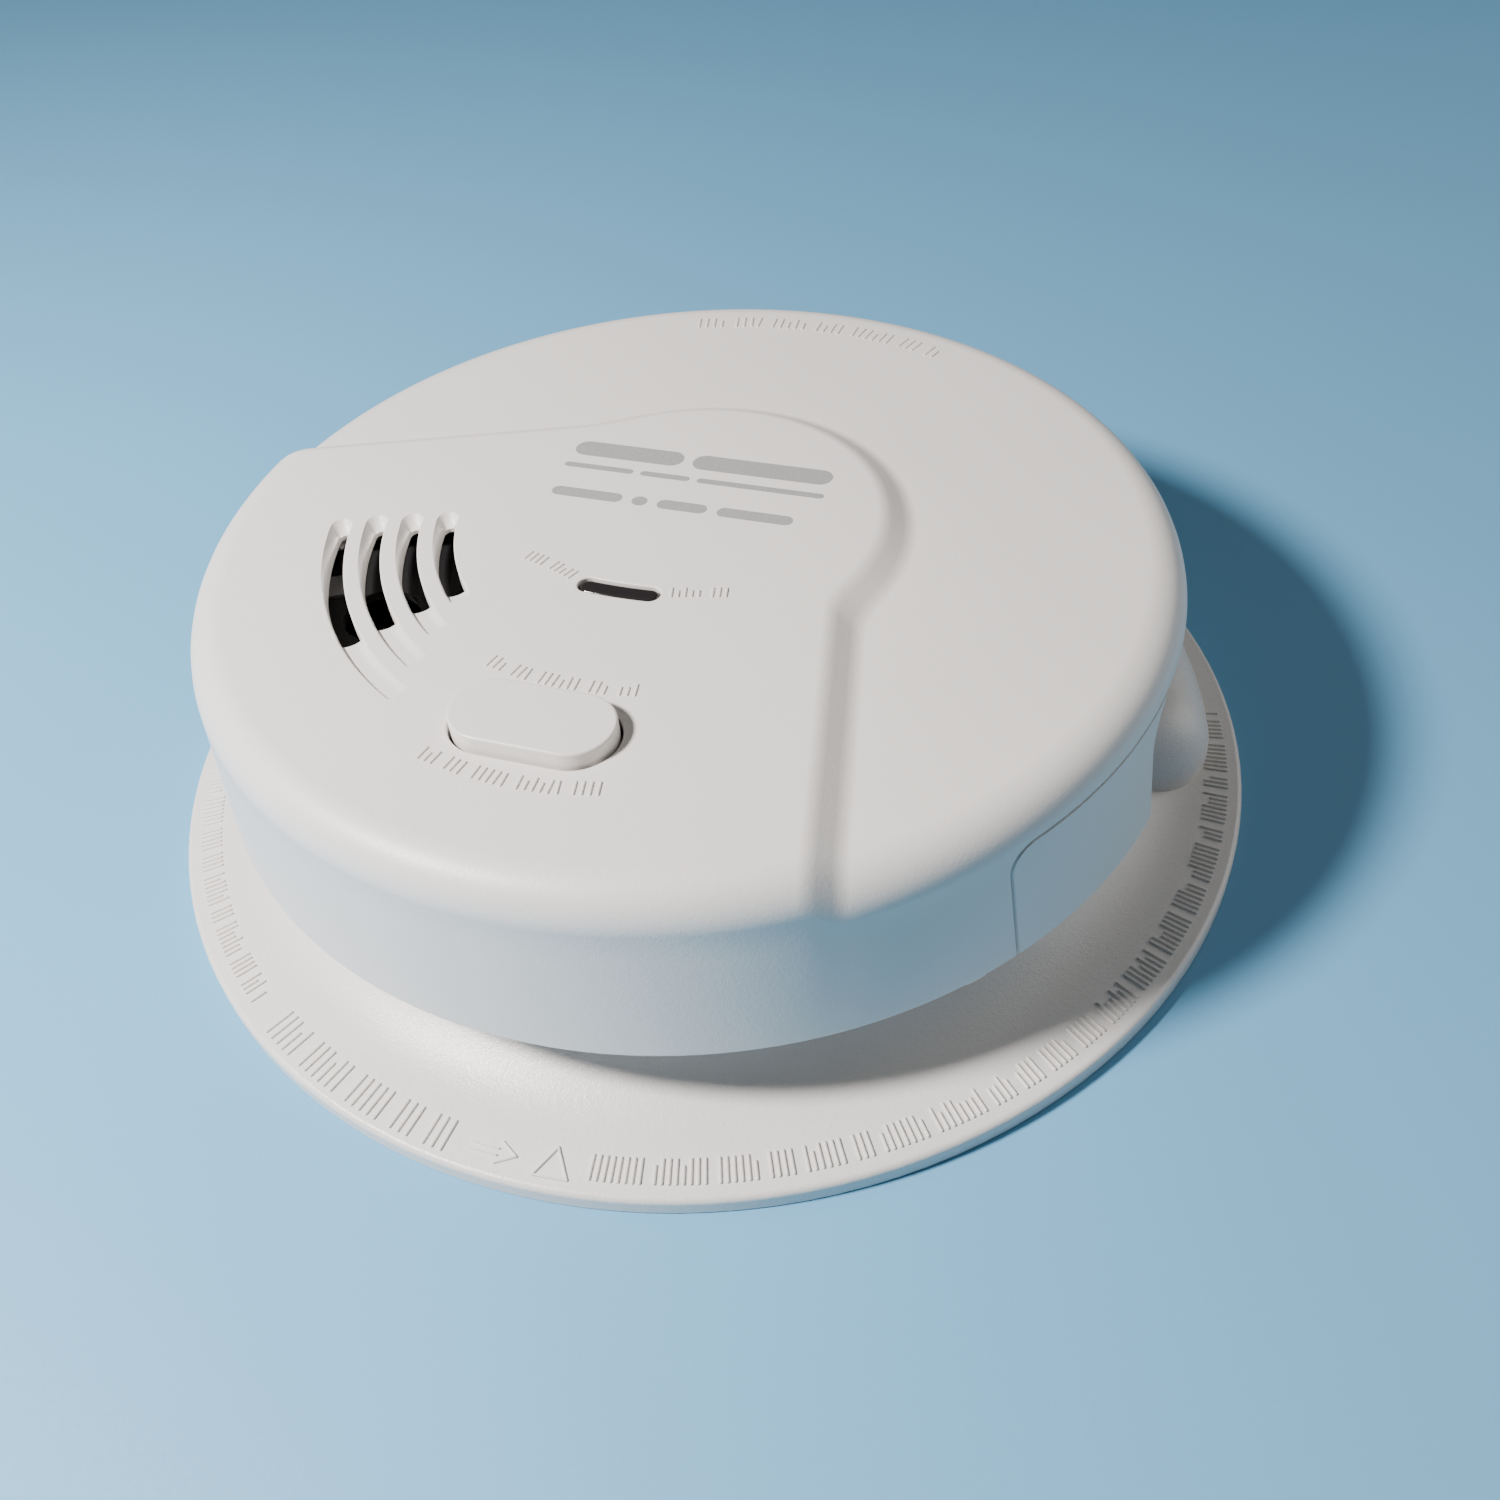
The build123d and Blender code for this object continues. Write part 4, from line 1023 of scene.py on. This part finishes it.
def pocket_lines():
    """Lines round the pocket behind the slots, at the top and the foot of its ramp."""
    lines = []
    for grow in (0.0, POCKET_RAMP):
        r0, r1 = POCKET_R[0] - grow, POCKET_R[1] + grow
        a0 = POCKET_A[0] - math.degrees(grow / POCKET_R[1])
        a1 = POCKET_A[1] + math.degrees(grow / POCKET_R[1])
        path = arc_points(SLOT_CENTRE, r1, a0, a1, 1.5) + arc_points(SLOT_CENTRE, r0, a1, a0, 1.5)
        path.append(path[0])
        lines.append(np.array(path))
    return lines


def build_button():
    """Push button with the lip that keeps it in the cover, and its stem."""
    shell = Shell("button_cap")
    lip_top = FACE_Z - COVER_T - BUTTON_LIP_SINK
    lip_foot = lip_top - BUTTON_LIP_T
    wide, narrow = BUTTON_LIP_W, BUTTON_LIP_W - 0.15
    levels = edge_levels(BUTTON_TOP, BUTTON_EDGE)
    levels += [(0.0, BUTTON_TOP - 2.0), (0.0, lip_top + 0.15), (0.0, lip_top)]
    levels += [(narrow, lip_top), (wide, lip_top - 0.15), (wide, lip_foot + 0.15), (narrow, lip_foot)]
    turned(shell, stadium(BUTTON_XY, BUTTON_L, BUTTON_W), levels)
    stem_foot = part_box("circuit_board")[1].z / MM + STEM_FOOT
    stem = [(0.0, lip_top - 1.0), (0.0, stem_foot + 0.2), (-0.2, stem_foot)]
    turned(shell, circle(BUTTON_XY, STEM_R), stem)
    shell.build("button", "button_plastic", "test_button")


def build_spring():
    """Coil under the button, drawn at the full length of the CAD spring."""
    shell = Shell("button_coil")
    low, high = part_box("button_spring")
    length = (high.z - low.z) / MM
    rise = np.array([0.0, 0.0, 1.0])
    rows = []
    for t in np.linspace(0.0, 1.0, 141):
        turn = SPRING_TURNS * 2 * math.pi * t
        out = np.array([math.cos(turn), math.sin(turn), 0.0])
        height = low.z / MM + SPRING_WIRE + t * (length - 2 * SPRING_WIRE)
        centre = np.array([*BUTTON_XY, height]) + SPRING_R * out
        section = np.linspace(0, 2 * math.pi, 12, endpoint=False)
        rows.append([centre + SPRING_WIRE * (math.cos(b) * out + math.sin(b) * rise) for b in section])
    shell.grid(rows)
    for end in (rows[0], rows[-1]):
        shell.add(end, [tuple(range(len(end)))])
    coil = shell.build("alarm", "steel", "button_spring")
    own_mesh(coil)


def build_window():
    """Smoked indicator window with the light guides behind it."""
    shell = Shell("window_lens")
    top = FIELD_Z - LENS_SINK
    under = FACE_Z - COVER_T
    foot = under - LENS_LIP_T
    levels = edge_levels(top, LENS_EDGE)
    levels += [(0.0, top - 1.5), (0.0, under), (LENS_LIP_W - 0.15, under), (LENS_LIP_W, under - 0.15)]
    levels += [(LENS_LIP_W, foot + 0.1), (LENS_LIP_W - 0.1, foot)]
    turned(shell, window_outline(WINDOW_W - 2 * LENS_GAP), levels)
    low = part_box("power_led")[1].z / MM + GUIDE_GAP
    for side in (-1, 1):
        outline = circle((WINDOW_XY[0] + side * GUIDE_X, WINDOW_XY[1]), GUIDE_R)
        turned(shell, outline, [(0.0, under - 1.0), (0.0, low + 0.1), (-0.1, low)])
    shell.build("alarm", "window_plastic", "light_pipe")


# ---------------------------------------------------------------- raised and printed marks
def word_groups(chance, length, step, most):
    """Places of strokes along a line, in groups of uneven size, each with a share of the full height."""
    at = 0.0
    places = []
    while at < length:
        for _ in range(chance.randint(3, most)):
            if at < length:
                places.append((at, chance.choice((1.0, 1.0, 1.0, 0.72))))
            at += step
        at += step
    return places


def marks_on_ring():
    """Plain raised strokes round the ring's band, an arrow for the way it turns, and a small triangle."""
    chance = random.Random(4)
    shell = Shell("ring_marks")
    slope = (RING_LIP_H - BAND_INNER_H) / BAND_RUN

    def stroke(start, end, width):
        """Raised stroke between two places, each given as its radius and its angle."""
        ends = []
        for r, a in (start, end):
            x, y = r * direction(a)
            ends.append(np.array((x, y, BAND_INNER_H + slope * (r - BAND_INNER_R))))
        way = ends[1] - ends[0]
        raised_bar(shell, (ends[0] + ends[1]) / 2, way, np.linalg.norm(way) + width, width, RING_MARK_H)

    for a0, a1, r0, r1, step, width, most in RING_MARKS:
        long = math.radians(a1 - a0) * r0
        for at, share in word_groups(chance, long, step, most):
            a = a0 + math.degrees(at / r0)
            stroke((r1 - (r1 - r0) * share, a), (r1, a), width)
    tail, neck, tip = ARROW_A
    for r in ARROW_SHAFT_R:
        stroke((r, tail), (r, neck), 0.25)
    for r in ARROW_BARB_R:
        stroke((r, neck + 0.1), (ARROW_TIP_R, tip), 0.35)
    point, left, right = TRIANGLE
    for start, end in ((point, left), (left, right), (right, point)):
        stroke(start, end, 0.32)
    shell.build("bracket", "ring_plastic")


def marks_on_face():
    """Plain raised strokes beside the window, round the button and at the upper edge."""
    chance = random.Random(9)
    shell = Shell("face_marks")
    for points, z, height, step, width, most in FACE_MARKS:
        path = np.array(points, float)
        lengths = np.r_[0, np.cumsum(np.linalg.norm(np.diff(path, axis=0), axis=1))]

        def at(s):
            return np.array([np.interp(s, lengths, path[:, i]) for i in (0, 1)])

        for s, share in word_groups(chance, lengths[-1], step, most):
            way = unit(at(s + 0.2) - at(s - 0.2))
            across = np.array([-way[1], way[0]])
            x, y = at(s) - across * height * (1 - share) / 2
            raised_bar(shell, (x, y, z), (*across, 0.0), height * share, width, FACE_MARK_H)
    shell.build("alarm", "cover_plastic")


def printed_bars():
    """Grey pad-printed bars on the head of the raised field."""
    shell = Shell("printed_bars")
    for y, height, bars in PRINT_ROWS:
        for x0, x1 in bars:
            outline = stadium(((x0 + x1) / 2, y), x1 - x0, height, 0.35)
            turned(shell, outline, [(0.0, FIELD_Z + PRINT_T), (0.0, FIELD_Z - PRINT_SINK)])
    piece = shell.build("alarm", "cover_plastic")
    piece.data.materials[0] = ink()


def dress_cad_nodes():
    """Gives every carried-over CAD node its procedural material."""
    slots = {part["node"]: part["material_slot"] for part in frame["record"]["subparts"]}
    for name, node in frame["nodes"].items():
        node.data.materials.clear()
        node.data.materials.append(MATERIALS[slots[name]])


# ---------------------------------------------------------------- floor, light and camera
def set_stage():
    """Plain floor just under the ring."""
    floor_mesh = bpy.data.meshes.new("floor")
    work = bmesh.new()
    bmesh.ops.create_grid(work, x_segments=24, y_segments=24, size=FLOOR_HALF)
    work.to_mesh(floor_mesh)
    work.free()
    floor = bpy.data.objects.new("floor", floor_mesh)
    floor.location.z = cad_box[0].z - FLOOR_GAP
    floor_mesh.materials.append(floor_paper())
    bpy.context.scene.collection.objects.link(floor)


def bulb(name, place, size, power, colour):
    """Small round light that shines all round."""
    data = bpy.data.lights.new(name, "POINT")
    data.shadow_soft_size = size / 2
    data.energy = power
    data.color = colour
    light = bpy.data.objects.new(name, data)
    light.location = place
    bpy.context.scene.collection.objects.link(light)


def lamp(name, place, aim, size, power, colour):
    """Flat round light, aimed at a place."""
    data = bpy.data.lights.new(name, "AREA")
    data.shape = "DISK"
    data.size = size
    data.energy = power
    data.color = colour
    light = bpy.data.objects.new(name, data)
    light.location = place
    light.rotation_euler = (Vector(aim) - Vector(place)).to_track_quat("-Z", "Y").to_euler()
    bpy.context.scene.collection.objects.link(light)


def set_lights():
    """Small warm key light from the front left, wide fill from the back right, faint cool room."""
    bulb("key", KEY_PLACE, KEY_SIZE, KEY_POWER, (1.0, 0.96, 0.93))
    lamp("fill", FILL_PLACE, FILL_AIM, FILL_SIZE, FILL_POWER, (1.0, 0.97, 0.93))
    world = bpy.data.worlds.new("soft_room")
    world.use_nodes = True
    sky = world.node_tree.nodes["Background"]
    sky.inputs["Color"].default_value = SKY_COLOUR
    sky.inputs["Strength"].default_value = SKY_STRENGTH
    bpy.context.scene.world = world


def set_camera():
    """Camera at the photograph's angle."""
    data = bpy.data.cameras.new("camera")
    data.lens = CAMERA_LENS
    data.sensor_width = SENSOR_WIDTH
    camera = bpy.data.objects.new("camera", data)
    camera.location = CAMERA_PLACE
    camera.rotation_euler = [math.radians(a) for a in CAMERA_TURN]
    bpy.context.scene.collection.objects.link(camera)
    bpy.context.scene.camera = camera


set_camera()
set_lights()
set_stage()
dress_cad_nodes()
build_cover()
build_button()
build_spring()
build_window()
marks_on_ring()
marks_on_face()
printed_bars()
